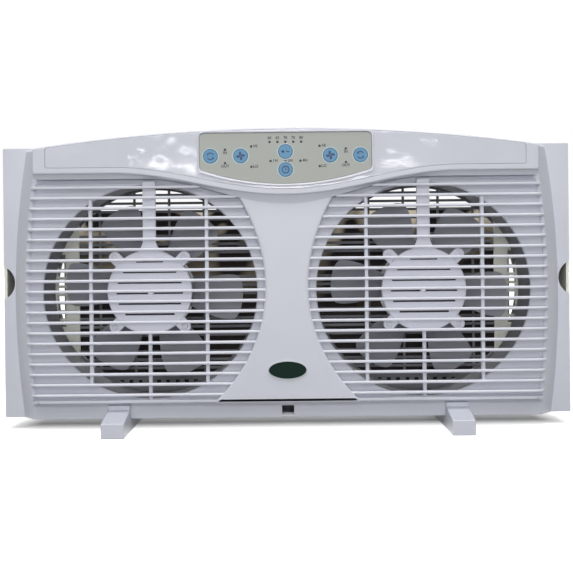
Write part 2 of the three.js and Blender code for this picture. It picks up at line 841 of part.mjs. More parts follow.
addNode(fan, 'control_panel', makeControlPanel(), panelFilm);

// Key: round cap through the panel, a flange behind it and a stem to its switch.
function makeKey() {
  const frontY = panelFrontY - keyProud;
  const flangeY = panelBackY + keyGap;
  const flangeBackY = flangeY + keyFlangeDepth;
  const flangeRadius = keyRadius + keyFlangeWidth;
  const stemBackY = boardFrontY - switchHeight - keyTravel - switchFreePlay;
  return turned([
    [0, frontY], [keyRadius, frontY], [keyRadius, flangeY], [flangeRadius, flangeY],
    [flangeRadius, flangeBackY], [keyStemRadius, flangeBackY], [keyStemRadius, stemBackY], [0, stemBackY],
  ], keySegments);
}

for (const { name, x, z } of keys) addNode(seatAt(fan, x, 0, z), name, makeKey(), keyBlue);

// Indicator lamps, mirrored left and right: [x, drop below the top of the panel].
const lampPlaces = [
  ...centredRow(5, timerLampPitch).map((x) => [x, timerLampDrop]),
  ...centredRow(3, hourLampPitch).map((x) => [x, hourLampDrop]),
  ...[-1, 1].flatMap((hand) => [
    ...flowLampDrops.map((drop) => [hand * flowLampOffset, drop]),
    ...speedLampDrops.map((drop) => [hand * speedLampOffset, drop]),
  ]),
];

function makeControlBoard() {
  const solderY = boardFrontY + boardThickness / 2;
  const board = box(-controlBoardHalf, controlBoardHalf, boardFrontY, boardFrontY + boardThickness,
    controlBoardLowZ, controlBoardTopZ);
  const stud = (x, z, width, frontY) =>
    box(x - width / 2, x + width / 2, frontY, solderY, z - width / 2, z + width / 2);
  const switches = keys.map(({ x, z }) => stud(x, z, switchWidth, boardFrontY - switchHeight));
  const lamps = lampPlaces.map(([x, drop]) =>
    stud(x, panelTopZ - drop, lampWidth, panelBackY + lampSetback));
  return join(board, switches, lamps);
}

addNode(fan, 'control_board', makeControlBoard(), boardGreen);

// ---------------------------------------------------------------- power supply

function makePowerBoard() {
  const half = powerBoardWidth / 2;
  const lowZ = powerLowZ + relayInset;
  const board = box(-half, half, powerBoardY, powerBoardBackY, powerLowZ, powerHighZ);
  const relays = [-relayOffset, relayOffset].map((x) =>
    box(x - relayWidth / 2, x + relayWidth / 2, powerBoardY + boardThickness / 2,
      powerBoardBackY + relayDepth, lowZ, lowZ + relayHeight));
  return join(board, relays);
}

addNode(fan, 'power_board', makePowerBoard(), boardGreen);

const partFrontY = powerBoardBackY + seatGap;

function makeTransformer() {
  const midZ = powerHighZ - transformerInset - coreHeight / 2;
  const midY = partFrontY + coilDepth / 2;
  const core = box(-coreWidth / 2, coreWidth / 2, midY - coreDepth / 2, midY + coreDepth / 2,
    midZ - coreHeight / 2, midZ + coreHeight / 2);
  const coil = box(-coilWidth / 2, coilWidth / 2, partFrontY, partFrontY + coilDepth,
    midZ - coilHeight / 2, midZ + coilHeight / 2);
  return join(core, coil);
}

addNode(fan, 'transformer', makeTransformer(), steel);

for (const { label, sign } of sides) {
  const x = sign * capacitorOffset;
  const highZ = powerHighZ - capacitorInset;
  const body = box(x - capacitorWidth / 2, x + capacitorWidth / 2, partFrontY, partFrontY + capacitorDepth,
    highZ - capacitorHeight, highZ);
  addNode(fan, `run_capacitor_${label}`, body, darkPlastic);
}

// ---------------------------------------------------------------- pieces of one fan

const lugFrontY = coverFrontY + lugSetback;
const lugPlaces = [-1, 1].flatMap((sx) => [-1, 1].map((sz) => [sx * lugOffset, sz * lugOffset]));

function makeDuct() {
  const notch = box(-loomNotchWidth / 2, loomNotchWidth / 2, ductFrontY - overcut, ductFrontY + loomNotchDepth,
    openingRadius - 2 * overcut, ductRadius + 2 * overcut);
  return cut(tube(ductRadius, openingRadius, ductFrontY, ductBackY), notch);
}

// Ring with a lip behind the rear wall, one layer of level bars and a layer of uprights behind it.
function makeRearGrille(sign) {
  const radius = ductRadius - seatGap;
  const innerRadius = radius - rearRingWidth;
  const lipBackY = rearWallY - seatGap;
  const ring = turned([
    [innerRadius, lipFrontY], [radius + rearLipWidth, lipFrontY], [radius + rearLipWidth, lipBackY],
    [radius, lipBackY], [radius, rearY], [innerRadius, rearY],
  ]);
  const barY = rearY - rearBarInset - 2 * rearBarDepth - seatGap;
  const uprightY = barY + rearBarDepth + seatGap;
  const sillZ = rearSillWidth - radius;
  const half = rearBarThickness / 2;
  const barCount = 2 * Math.floor(radius / rearBarPitch);
  const bars = centredRow(barCount, rearBarPitch)
    .filter((z) => z > sillZ)
    .map((z) => box(-radius, radius, barY, barY + rearBarDepth, z - half, z + half));
  const uprightCount = Math.floor(2 * radius / rearUprightPitch);
  const uprights = centredRow(uprightCount, rearUprightPitch).map((offset) => {
    const x = sign * (offset - rearUprightPitch + rearUprightShift);
    return box(x - half, x + half, uprightY, uprightY + rearBarDepth, -radius, radius);
  });
  const sill = box(-radius, radius, barY, uprightY + rearBarDepth, -radius, sillZ);
  const disc = rod(radius - rearRingWidth / 2, barY - overcut, rearY + overcut);
  const holeTopZ = sillZ - sillHoleInset;
  const holes = centredRow(sillHoleCount, sillHolePitch).map((x) =>
    box(x - sillHoleWidth / 2, x + sillHoleWidth / 2, barY - overcut, rearY + overcut,
      holeTopZ - sillHoleHeight, holeTopZ));
  return cut(join(ring, join(bars, uprights, sill).intersect(disc)), holes);
}

// Screw lug on a diagonal: a parallel strip out of the disc, with a round end at its screw.
function makeLug(radius, y0, y1, [x, z]) {
  const [hand, rise] = [Math.sign(x), Math.sign(z)];
  const half = radius * Math.SQRT1_2;
  const root = (coverRadius - 2 * coverRim) * Math.SQRT1_2;
  const strip = slab([
    [x + half * hand, z - half * rise], [x - half * hand, z + half * rise],
    [(root - half) * hand, (root + half) * rise], [(root + half) * hand, (root - half) * rise],
  ], y0, y1);
  return join(strip, rod(radius, y0, y1, x, z, lugSegments));
}

// Slotted disc with four lugs, a wide arm up and a thin strut down, both resting on the floor plate.
function makeMotorCover() {
  const innerRadius = coverRadius - coverRim;
  const innerY = coverFrontY + wall;
  const armY = coverFrontY + armSetback;
  const dish = turned([
    [0, coverFrontY], [coverRadius - coverEdge, coverFrontY], [coverRadius, coverFrontY + coverEdge],
    [coverRadius, coverSeatY], [innerRadius, coverSeatY], [innerRadius, innerY], [0, innerY],
  ]);
  const lugs = lugPlaces.map((place) => makeLug(lugRadius, lugFrontY, coverSeatY, place));
  const reach = openingRadius + armOverlap;
  const halfArm = [
    [armRootWidth / 2, coverRadius - coverRim], [armWidth / 2, coverRadius + armFlare], [armWidth / 2, reach],
  ];
  const arm = slab([...halfArm, ...halfArm.map(([x, z]) => [-x, z]).reverse()], armY, coverSeatY);
  const strut = box(-strutWidth / 2, strutWidth / 2, armY, coverSeatY, -reach, coverRim / 2 - coverRadius);
  const slots = centredRow(coverSlotCount, coverSlotPitch).map((offset) => {
    const z = offset + coverSlotShift;
    const half = Math.sqrt((coverRadius - coverSlotMargin) ** 2 - z ** 2);
    return box(-half, half, coverFrontY - overcut, innerY + overcut,
      z - coverSlotHeight / 2, z + coverSlotHeight / 2);
  });
  const holes = lugPlaces.map(([x, z]) =>
    rod(pilotRadius, coverFrontY - overcut, coverSeatY + overcut, x, z, screwSegments));
  return cut(join(dish, lugs, arm, strut), slots, holes);
}

function makeMotor() {
  const flangeY = motorFrontY + motorFlange;
  const can = turned([
    [shaftBore, motorFrontY], [coverRadius, motorFrontY], [coverRadius, flangeY],
    [motorRadius, flangeY], [motorRadius, motorBackY], [shaftBore, motorBackY],
  ], hubSegments);
  const ears = lugPlaces.map((place) => makeLug(lugRadius - motorEarInset, motorFrontY, flangeY, place));
  const pilots = lugPlaces.map(([x, z]) =>
    rod(pilotRadius, motorFrontY - overcut, flangeY + overcut, x, z, screwSegments));
  return cut(join(can, ears), pilots);
}

function makeBearing() {
  const frontY = motorBackY + seatGap;
  return tube(bearingRadius, shaftBore, frontY, frontY + bearingWidth, shaftSegments);
}

const makeShaft = () => rod(shaftRadius, shaftFrontY, shaftBackY, 0, 0, shaftSegments);

function makeHubNut() {
  const frontY = hubBackY + seatGap;
  const backY = frontY + nutLength;
  return cut(
    rod(nutRadius, frontY, backY, 0, 0, screwSegments),
    rod(shaftBore, frontY - overcut, backY + overcut, 0, 0, shaftSegments),
  );
}

// Point of a blade: t runs from root to tip, u from -1 to 1 along the chord, side picks the face.
function bladePoint(turn, t, u, side) {
  const swell = Math.sin(t * Math.PI * bladeSwell) / Math.sin(Math.PI * bladeSwell);
  const chord = THREE.MathUtils.lerp(bladeRootChord, bladeTipChord, swell);
  const pitch = THREE.MathUtils.degToRad(THREE.MathUtils.lerp(bladeRootPitch, bladeTipPitch, t));
  const radius = THREE.MathUtils.lerp(hubRadius - overcut, bladeRadius, t);
  const along = u * chord / 2;
  const across = bladeCamber * chord * (1 - u * u) + side * bladeThickness / 2;
  const angle = turn + (along * Math.cos(pitch) - across * Math.sin(pitch)) / radius;
  const y = (hubFrontY + hubBackY) / 2 + along * Math.sin(pitch) + across * Math.cos(pitch);
  const reach = t < 1 ? radius : radius - bladeTipRound * u ** 4;
  return [reach * Math.cos(angle), y, reach * Math.sin(angle)];
}

// One twisted and cambered blade, as a closed skin round its two faces.
function makeBlade(turn) {
  const row = bladeChordSteps + 1;
  const face = (side) => range(bladeStations + 1).flatMap((i) => range(row).map((j) =>
    bladePoint(turn, i / bladeStations, 2 * j / bladeChordSteps - 1, side)));
  const upper = face(1);
  const base = upper.length;
  const faces = [];
  const quad = (a, b, c, d) => faces.push(a, b, c, a, c, d);
  for (const i of range(bladeStations)) {
    for (const j of range(bladeChordSteps)) {
      const k = i * row + j;
      quad(k, k + 1, k + row + 1, k + row);
      quad(base + k, base + k + row, base + k + row + 1, base + k + 1);
    }
  }
  const tip = bladeStations * row;
  const rim = [
    ...range(row),
    ...range(bladeStations).map((i) => (i + 1) * row + bladeChordSteps),
    ...range(bladeChordSteps).map((j) => tip + bladeChordSteps - 1 - j),
    ...range(bladeStations - 1).map((i) => (bladeStations - 1 - i) * row),
  ];
  rim.forEach((p, i) => {
    const q = rim[(i + 1) % rim.length];
    quad(q, p, base + p, base + q);
  });
  const geometry = new THREE.BufferGeometry();
  geometry.setAttribute('position', new THREE.Float32BufferAttribute([...upper, ...face(-1)].flat(), 3));
  geometry.setIndex(faces);
  return solidFrom(geometry);
}

function makeImpeller() {
  const bossFrontY = motorBackY + seatGap + bearingWidth + 2 * seatGap;
  const webY = hubBackY - hubWall;
  const innerRadius = hubRadius - hubWall;
  const hub = turned([
    [shaftBore, bossFrontY], [hubBossRadius, bossFrontY], [hubBossRadius, webY], [innerRadius, webY],
    [innerRadius, hubFrontY], [hubRadius, hubFrontY], [hubRadius, hubBackY - hubEdge],
    [hubRadius - hubEdge, hubBackY], [shaftBore, hubBackY],
  ], hubSegments);
  const startTurn = THREE.MathUtils.degToRad(bladeStartAngle);
  const blades = range(bladeCount).map((k) => makeBlade(startTurn + 2 * Math.PI * k / bladeCount));
  const room = rod(innerRadius, hubFrontY - hubDepth, webY - overcut / 2, 0, 0, hubSegments);
  return join(hub, join(blades).subtract(room));
}

// Round-headed screw along +Y, its head in front.
function makeScrew(frontY, backY) {
  const headBackY = frontY + screwHeadHeight;
  return turned([
    [0, frontY], [screwHeadRadius, frontY], [screwHeadRadius, headBackY],
    [screwRadius, headBackY], [screwRadius, backY], [0, backY],
  ], screwSegments);
}

for (const { label, sign } of sides) {
  const centre = seatAt(fan, sign * fanOffset, 0, fanZ);
  addNode(centre, `duct_ring_${label}`, makeDuct(), shadePlastic);
  addNode(centre, `rear_grille_${label}`, makeRearGrille(sign), shadePlastic);
  addNode(centre, `motor_cover_${label}`, makeMotorCover(), bodyPlastic);
  addNode(centre, `motor_${label}`, makeMotor(), steel);
  addNode(centre, `motor_bearing_${label}`, makeBearing(), bronze);
  addNode(centre, `rotor_shaft_${label}`, makeShaft(), steel);
  addNode(centre, `impeller_${label}`, makeImpeller(), bladePlastic);
  addNode(centre, `hub_nut_${label}`, makeHubNut(), darkPlastic);
  lugPlaces.forEach(([x, z], i) => {
    const screw = makeScrew(lugFrontY - seatGap - screwHeadHeight, motorFrontY + motorFlange);
    addNode(seatAt(centre, x, 0, z), `motor_screw_${label}_${i + 1}`, screw, steel);
  });
}

// The housing screws go in from behind, so they are turned round.
housingScrews.forEach(([x, z], i) => {
  const seat = seatAt(fan, x, 0, z);
  seat.rotation.z = Math.PI;
  const headY = rearY + seatGap + screwHeadHeight;
  addNode(seat, `housing_screw_${i + 1}`, makeScrew(-headY, pilotDepth - bossBackY), steel);
});

// ---------------------------------------------------------------- wire looms, gland, feet

// Loom from the top of a motor, up behind the floor plate and over to the edge of the power board.
function makeLoom(sign) {
  const y = ductFrontY + loomRadius + seatGap;
  const motorTop = fanZ + coverRadius + seatGap;
  const ductTop = fanZ + ductRadius;
  const boardEdge = powerBoardWidth / 2 + seatGap;
  const boardY = (powerBoardY + powerBoardBackY) / 2;
  const plugZ = powerHighZ - powerBoardHeight / 3;
  const route = new THREE.CatmullRomCurve3([
    [fanOffset, y, motorTop],
    [fanOffset, y, (motorTop + ductTop) / 2],
    [fanOffset, y, ductTop],
    [fanOffset - 2 * bossRadius, y, (ductTop + plugZ) / 2 + bossRadius],
    [(fanOffset + boardEdge) / 2, (y + boardY) / 2, plugZ],
    [boardEdge, boardY, plugZ],
  ].map(([x, py, z]) => new THREE.Vector3(sign * x, py, z)));
  const section = new THREE.Shape();
  section.absarc(0, 0, loomRadius, 0, 2 * Math.PI);
  return solidFrom(new THREE.ExtrudeGeometry(section, { steps: 12, curveSegments: 3, extrudePath: route }));
}

for (const { label, sign } of sides) addNode(fan, `wire_loom_${label}`, makeLoom(sign), darkPlastic);

function makeGland() {
  const frontY = rearWallY - glandReach;
  const backY = rearY + glandReach;
  const flangeY = rearY + seatGap;
  return turned([
    [glandBore, frontY], [glandRadius, frontY], [glandRadius, flangeY], [glandRadius + glandFlange, flangeY],
    [glandRadius + glandFlange / 2, backY], [glandBore, backY],
  ], glandSegments);
}

addNode(seatAt(fan, 0, 0, bottomZ + glandHeight), 'cord_gland', makeGland(), darkPlastic);

// Foot: long sole with sloping toes and two risers that grip the frame front and back.
function makeFoot() {
  const halfDepth = footDepth / 2;
  const cradleZ = bottomZ - seatGap;
  const riserZ = bottomZ + riserHeight;
  const heelZ = toeHeight + heelRise;
  const frontFace = floorY - seatGap;
  const backFace = rearY + seatGap;
  return bar([
    [-halfDepth, 0], [halfDepth, 0], [halfDepth, toeHeight], [backFace + riserThickness, heelZ],
    [backFace + riserThickness, riserZ], [backFace, riserZ], [backFace, cradleZ], [frontFace, cradleZ],
    [frontFace, riserZ], [frontFace - riserThickness, riserZ], [frontFace - riserThickness, heelZ],
    [-halfDepth, toeHeight],
  ], -footWidth / 2, footWidth / 2);
}

for (const { label, sign } of sides) {
  addNode(seatAt(fan, sign * (halfWidth - footInset), 0, 0), `foot_${label}`, makeFoot(), bodyPlastic);
}

export default fan;
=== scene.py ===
# %% [markdown]
# # A twin window fan, dressed for a close look
# The frame brings every piece at its real size and place. Each cell below takes one piece or finish of
# the real fan, says what it is, how it could be made, and why it is made this way.

from math import cos, pi, radians, sin, sqrt, tan

import bmesh
import bpy
from mathutils import Matrix, Vector
from mathutils.geometry import tessellate_polygon


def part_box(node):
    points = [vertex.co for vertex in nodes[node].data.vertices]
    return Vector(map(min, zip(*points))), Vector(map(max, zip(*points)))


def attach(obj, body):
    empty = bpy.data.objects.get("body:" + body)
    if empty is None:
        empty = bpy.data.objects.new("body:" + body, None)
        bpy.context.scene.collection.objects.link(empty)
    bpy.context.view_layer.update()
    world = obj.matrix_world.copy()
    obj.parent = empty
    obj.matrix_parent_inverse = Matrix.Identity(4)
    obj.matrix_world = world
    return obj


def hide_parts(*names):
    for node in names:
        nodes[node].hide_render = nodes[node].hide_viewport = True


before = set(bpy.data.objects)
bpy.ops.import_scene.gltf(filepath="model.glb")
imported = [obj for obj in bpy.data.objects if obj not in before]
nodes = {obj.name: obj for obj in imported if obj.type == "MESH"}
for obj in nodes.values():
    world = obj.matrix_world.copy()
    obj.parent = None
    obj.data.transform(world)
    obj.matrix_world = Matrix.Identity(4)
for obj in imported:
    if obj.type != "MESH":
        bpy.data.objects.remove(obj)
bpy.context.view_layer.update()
scene = bpy.context.scene
MM = 0.001

# %% [markdown]
# The photograph was taken from straight in front, a little above the middle, and the fan leans by half a
# degree in it. A level camera with a small shift keeps upright edges upright, which a tilted one doesn't.

# %% Camera
CAMERA_DISTANCE = 1208 * MM
CAMERA_HEIGHT = 194.4 * MM
CAMERA_ROLL = 0.0105

camera_data = bpy.data.cameras.new("camera")
camera_data.lens = 66.6
camera_data.shift_y = -0.055
camera = bpy.data.objects.new("camera", camera_data)
camera.location = (0, -CAMERA_DISTANCE, CAMERA_HEIGHT)
camera.rotation_euler = (pi / 2, CAMERA_ROLL, 0)
scene.collection.objects.link(camera)
scene.camera = camera
scene.view_settings.view_transform = "Standard"
print("camera:", camera.location[:])

# %% [markdown]
# Shader trees and geometry trees are wired in the same way: make a node, set its options, then link or
# fill its inputs. A few small helpers do that, so that later cells read as a list of steps.

# %% Node helpers
def socket(sockets, name):
    """The input or output of that name that the node's present options use."""
    return next(s for s in sockets if s.name == name and s.enabled)


def add(tree, kind, inputs=None, **options):
    """Adds a node. Each input takes a value, or a link from another node's output."""
    node = tree.nodes.new(kind)
    for option, value in options.items():
        setattr(node, option, value)
    for name, value in (inputs or {}).items():
        target = socket(node.inputs, name)
        if isinstance(value, bpy.types.NodeSocket):
            tree.links.new(value, target)
        else:
            target.default_value = value
    return node


def out(node, name=None):
    """A node's output by name, or its first one in use."""
    return socket(node.outputs, name) if name else next(s for s in node.outputs if s.enabled)


def math(tree, operation, *values):
    """The result of a sum on values or on other nodes' outputs."""
    node = tree.nodes.new("ShaderNodeMath")
    node.operation = operation
    for target, value in zip(node.inputs, values):
        if isinstance(value, bpy.types.NodeSocket):
            tree.links.new(value, target)
        else:
            target.default_value = value
    return node.outputs[0]


# %% [markdown]
# A product shot on white: broad soft lights above and in front, one behind for the back view, and two thin
# lamps whose reflections curl on the glossy inlay. One more lamp reaches only the side panels, which lie
# deep in the finger notches.

# %% Lights
AIM = Vector((0, 0, 0.17))


def softbox(name, place, size, watts):
    """Rectangular soft light that faces the fan."""
    light = bpy.data.lights.new(name, "AREA")
    light.shape = "RECTANGLE"
    light.size, light.size_y = size
    light.energy = watts
    lamp = bpy.data.objects.new(name, light)
    lamp.location = place
    lamp.rotation_euler = (AIM - Vector(place)).to_track_quat("-Z", "Y").to_euler()
    scene.collection.objects.link(lamp)
    return lamp


softbox("key_softbox", (-0.1, -2.0, 1.9), (2.4, 1.0), 13)
softbox("front_softbox", (0, -2.2, 0.85), (1.5, 0.3), 10.5)
softbox("low_softbox", (0, -2.6, 0.26), (1.1, 0.25), 8)
softbox("top_softbox", (0, -0.55, 2.1), (2.4, 1.0), 25)
softbox("back_softbox", (0.3, 2.4, 1.3), (1.8, 1.0), 20)
softbox("left_streak", (-0.34, -2.0, 0.455), (0.17, 0.022), 0.2)
softbox("right_streak", (0.33, -2.0, 0.455), (0.1, 0.022), 0.11)

side_panels = bpy.data.collections.new("side_panels")
for name in ("extender_left", "extender_right"):
    side_panels.objects.link(nodes[name])
notch_light = softbox("notch_softbox", (0, -2.0, 0.3), (4.0, 0.3), 40)
notch_light.light_linking.receiver_collection = side_panels

# %% [markdown]
# The floor and the world are white only for the camera and for reflections, so that the white background
# adds no light to the fan. A white floor would still turn grey where the lamps fall off, so it glows away
# from the fan. Close round the fan the glow is held back, so the real shadow shows there, made darker and
# tighter by the missing glow: a painted contact shadow.

# %% Floor and surround
AMBIENT = 0.2
FLOOR_BOUNCE = 0.15
FLOOR_WHITE = 0.9
FLOOR_HALF = 9
PAINTED_SHADOW_Y = 0.05
PAINTED_SHADOW_HALF = 0.27
PAINTED_SHADOW_CORE = 0.02
GLOW_FULL = 0.07


def seen_directly(tree):
    """1 for rays from the camera, from gloss and through clear material, and 0 for all others."""
    path = add(tree, "ShaderNodeLightPath")
    seen = math(tree, "MAXIMUM", out(path, "Is Camera Ray"), out(path, "Is Glossy Ray"))
    return math(tree, "MAXIMUM", seen, out(path, "Is Transmission Ray"))


world = bpy.data.worlds.new("surround")
world.use_nodes = True
scene.world = world
background = world.node_tree.nodes["Background"]
background.inputs["Color"].default_value = (1, 1, 1, 1)
strength = add(world.node_tree, "ShaderNodeMapRange",
               {"Value": seen_directly(world.node_tree), "To Min": AMBIENT, "To Max": 1.0})
world.node_tree.links.new(out(strength), background.inputs["Strength"])

floor_mesh = bpy.data.meshes.new("floor")
floor_mesh.from_pydata([(-FLOOR_HALF, -FLOOR_HALF, 0), (FLOOR_HALF, -FLOOR_HALF, 0),
                        (FLOOR_HALF, FLOOR_HALF, 0), (-FLOOR_HALF, FLOOR_HALF, 0)], [], [(0, 1, 2, 3)])
floor = bpy.data.objects.new("floor", floor_mesh)
scene.collection.objects.link(floor)
floor_paper = bpy.data.materials.new("floor_paper")
floor_paper.use_nodes = True
paper = floor_paper.node_tree
floor_shader = paper.nodes["Principled BSDF"]
floor_shader.inputs["Roughness"].default_value = 1.0
floor_shader.inputs["Emission Color"].default_value = (1, 1, 1, 1)
seen = seen_directly(paper)
floor_tone = add(paper, "ShaderNodeMapRange", {"Value": seen, "To Min": FLOOR_BOUNCE, "To Max": FLOOR_WHITE})
paper.links.new(out(floor_tone), floor_shader.inputs["Base Color"])
floor_place = out(add(paper, "ShaderNodeTexCoord"), "Object")
centred = add(paper, "ShaderNodeMapping", {"Vector": floor_place, "Location": (0, -PAINTED_SHADOW_Y, 0)})
away = add(paper, "ShaderNodeVectorMath", {"Vector": out(centred)}, operation="ABSOLUTE")
away_parts = add(paper, "ShaderNodeSeparateXYZ", {"Vector": out(away)})
past_end = math(paper, "SUBTRACT", out(away_parts, "X"), PAINTED_SHADOW_HALF)
past_painted_shadow = math(paper, "MAXIMUM", past_end, out(away_parts, "Y"))
# Glow held back close round the fan: the real shadow shows there, darkened into a painted contact shadow.
glow = add(paper, "ShaderNodeMapRange", {"Value": past_painted_shadow, "From Min": PAINTED_SHADOW_CORE, "From Max": GLOW_FULL})
paper.links.new(math(paper, "MULTIPLY", out(glow), seen), floor_shader.inputs["Emission Strength"])
floor_mesh.materials.append(floor_paper)
print("floor: the glow is full", GLOW_FULL, "m from the line under the fan")

# %% [markdown]
# A dark space shows between the blades, with daylight over it at the top. A dark card behind each opening,
# seen only by the camera, paints that shade, and warm patches on its upper part, which glow, paint the
# daylight. It is cut off at the top and at the outer side, where white shows through, and it is clear from
# behind, so the back view stays open.

# %% Dark cards behind the openings
DUCT_LOW, DUCT_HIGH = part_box("duct_ring_right")
FAN_X = (DUCT_HIGH.x + DUCT_LOW.x) / 2
FAN_Z = (DUCT_HIGH.z + DUCT_LOW.z) / 2
CARD_TOP = 247 * MM
CARD_SIDE = 253 * MM
CARD_Y = 53 * MM
CARD_RADIUS = 119 * MM
CARD_POINTS = 96
PATCHES_PER_METRE = 22.0
# Painted shade in brown below, painted daylight in warm patches above.
PAINTED_SHADE_BROWN = (0.035, 0.028, 0.026, 1)
PAINTED_DAYLIGHT_PATCH = (0.62, 0.5, 0.36, 1)
PAINTED_DAYLIGHT_GLOW = (1.0, 0.9, 0.7, 1)

painted_shade_material = bpy.data.materials.new("dim_card")
painted_shade_material.use_nodes = True
dim_tree = painted_shade_material.node_tree
dim_shader = dim_tree.nodes["Principled BSDF"]
dim_shader.inputs["Roughness"].default_value = 1.0
dim_shader.inputs["Emission Color"].default_value = PAINTED_DAYLIGHT_GLOW
card_place = out(add(dim_tree, "ShaderNodeTexCoord"), "Object")
card_height = out(add(dim_tree, "ShaderNodeSeparateXYZ", {"Vector": card_place}), "Z")
card_blur = add(dim_tree, "ShaderNodeTexNoise",
                {"Vector": card_place, "Scale": PATCHES_PER_METRE, "Detail": 1.0})
card_spots = out(add(dim_tree, "ShaderNodeMapRange", {
    "Value": card_blur.outputs[0], "From Min": 0.47, "From Max": 0.6}))
card_rise = add(dim_tree, "ShaderNodeMapRange", {"Value": card_height, "From Min": 0.12, "From Max": 0.25})
card_tone = add(dim_tree, "ShaderNodeMix", {
    "Factor": math(dim_tree, "MULTIPLY", out(card_rise), card_spots), "A": PAINTED_SHADE_BROWN, "B": PAINTED_DAYLIGHT_PATCH,
}, data_type="RGBA")
dim_tree.links.new(out(card_tone), dim_shader.inputs["Base Color"])
# The patches' glow is painted daylight: the card is no lamp.
card_light = add(dim_tree, "ShaderNodeMapRange", {
    "Value": card_height, "From Min": 0.19, "From Max": 0.25, "To Max": 0.45})
painted_daylight_glow = math(dim_tree, "MULTIPLY", out(card_light), card_spots)
dim_tree.links.new(painted_daylight_glow, dim_shader.inputs["Emission Strength"])
from_behind = out(add(dim_tree, "ShaderNodeNewGeometry"), "Backfacing")
dim_tree.links.new(math(dim_tree, "SUBTRACT", 1.0, from_behind), dim_shader.inputs["Alpha"])
for sign in (-1, 1):
    card_turns = [2 * pi * i / CARD_POINTS for i in range(CARD_POINTS)]
    card_outline = [(sign * FAN_X + CARD_RADIUS * cos(a), FAN_Z + CARD_RADIUS * sin(a)) for a in card_turns]
    corners = [(max(-CARD_SIDE, min(CARD_SIDE, x)), CARD_Y, min(z, CARD_TOP)) for x, z in card_outline]
    card_mesh = bpy.data.meshes.new("dim_card")
    card_mesh.from_pydata(corners, [], [tuple(range(CARD_POINTS))])
    card_mesh.materials.append(painted_shade_material)
    card = bpy.data.objects.new("dim_card", card_mesh)
    scene.collection.objects.link(card)
    card.visible_shadow = card.visible_diffuse = card.visible_glossy = False
print("cards behind the openings at", round(FAN_X, 4), round(FAN_Z, 4))

# %% [markdown]
# The fan is almost all moulded plastic. Such a skin isn't one flat colour: it has a fine spark-eroded
# grain, its gloss drifts from place to place, and pale plastic yellows or greys in soft patches. One
# recipe makes each finish from two noises on the piece's own coordinates: a wide one for tone and gloss,
# and a fine one for relief. An image would need unwrapping, and this follows any shape.

# %% Recipe of a finish
def paint(red, green, blue):
    """Display colour from 0 to 255, as the linear colour that shaders take."""
    parts = [c / 255 for c in (red, green, blue)]
    return [((c + 0.055) / 1.055) ** 2.4 for c in parts] + [1]


def finish(name, colour, rough, patch=70 * MM, drift=0.05, grain=0.6 * MM, relief=0.012 * MM,
           metal=0.0, coat=0.0, shine=0.5, swell=0.0, swell_size=40 * MM):
    """Procedural finish: tone and gloss drift in patches, a fine grain, and a slow swell of the surface."""
    material = bpy.data.materials.new(name)
    material.use_nodes = True
    tree = material.node_tree
    shader = tree.nodes["Principled BSDF"]
    place = out(add(tree, "ShaderNodeTexCoord"), "Object")
    patches = add(tree, "ShaderNodeTexNoise", {"Vector": place, "Scale": 1 / patch, "Detail": 3.0})
    tone = add(tree, "ShaderNodeMix", {
        "Factor": patches.outputs[0],
        "A": [c * (1 - drift) for c in colour[:3]] + [1],
        "B": [min(1, c * (1 + drift)) for c in colour[:3]] + [1],
    }, data_type="RGBA")
    gloss = add(tree, "ShaderNodeMapRange",
                {"Value": patches.outputs[0], "To Min": rough * 0.88, "To Max": rough * 1.12})
    slow = add(tree, "ShaderNodeTexNoise", {"Vector": place, "Scale": 1 / swell_size, "Detail": 1.0})
    wave = add(tree, "ShaderNodeBump", {"Height": slow.outputs[0], "Distance": max(swell, 1e-6)})
    fine = add(tree, "ShaderNodeTexNoise", {"Vector": place, "Scale": 1 / grain, "Detail": 4.0})
    bump = add(tree, "ShaderNodeBump",
               {"Height": fine.outputs[0], "Distance": relief, "Normal": out(wave)})
    tree.links.new(out(tone), shader.inputs["Base Color"])
    tree.links.new(out(gloss), shader.inputs["Roughness"])
    tree.links.new(out(bump), shader.inputs["Normal"])
    shader.inputs["Metallic"].default_value = metal
    shader.inputs["Specular IOR Level"].default_value = shine
    shader.inputs["Coat Weight"].default_value = coat
    shader.inputs["Coat Roughness"].default_value = 0.06
    return material


print("a finish takes a linear colour, such as", [round(part, 3) for part in paint(211, 214, 224)])

# %% [markdown]
# The colours are those of the real fan in plain daylight, save where said. One lavender white covers the
# body, a glossier one the inlay, and greys the ducts and blades. Film, keys, boards and metal have tones of
# their own.
# The ducts, rear grilles and side panels are of the body's white plastic, so their greys are painted shade of
# the deep housing and notches, and a lighter copy of the white on the slats, motor discs and their screws is
# painted light on their lit faces.

# %% Finishes
FINISHES = {
    "body_plastic": finish("body_plastic", paint(211, 214, 224), 0.34),
    "gloss_trim": finish("gloss_trim", paint(216, 219, 229), 0.07, coat=0.5, swell=0.9 * MM,
                         swell_size=30 * MM, relief=0.001 * MM),
    # Grey for the ducts and rear grilles: painted shade, since they are of the body's white plastic.
    "shade_plastic": finish("shade_plastic", paint(136, 137, 142), 0.6, drift=0.09, shine=0.1),
    "blade_plastic": finish("blade_plastic", paint(152, 154, 161), 0.45, drift=0.06, shine=0.3),
    "panel_film": finish("panel_film", paint(168, 172, 165), 0.42, drift=0.03, grain=0.25 * MM),
    "key_blue": finish("key_blue", paint(80, 138, 177), 0.4, drift=0.05),
    "badge_green": finish("badge_green", paint(4, 32, 25), 0.4, drift=0.2, shine=0.08),
    "board_green": finish("board_green", paint(40, 98, 66), 0.5, drift=0.12),
    "dark_plastic": finish("dark_plastic", paint(34, 35, 38), 0.5, drift=0.15),
    "steel": finish("steel", paint(178, 181, 186), 0.3, metal=0.9, drift=0.08),
    "bronze": finish("bronze", paint(158, 126, 76), 0.4, metal=0.8, drift=0.15),
}
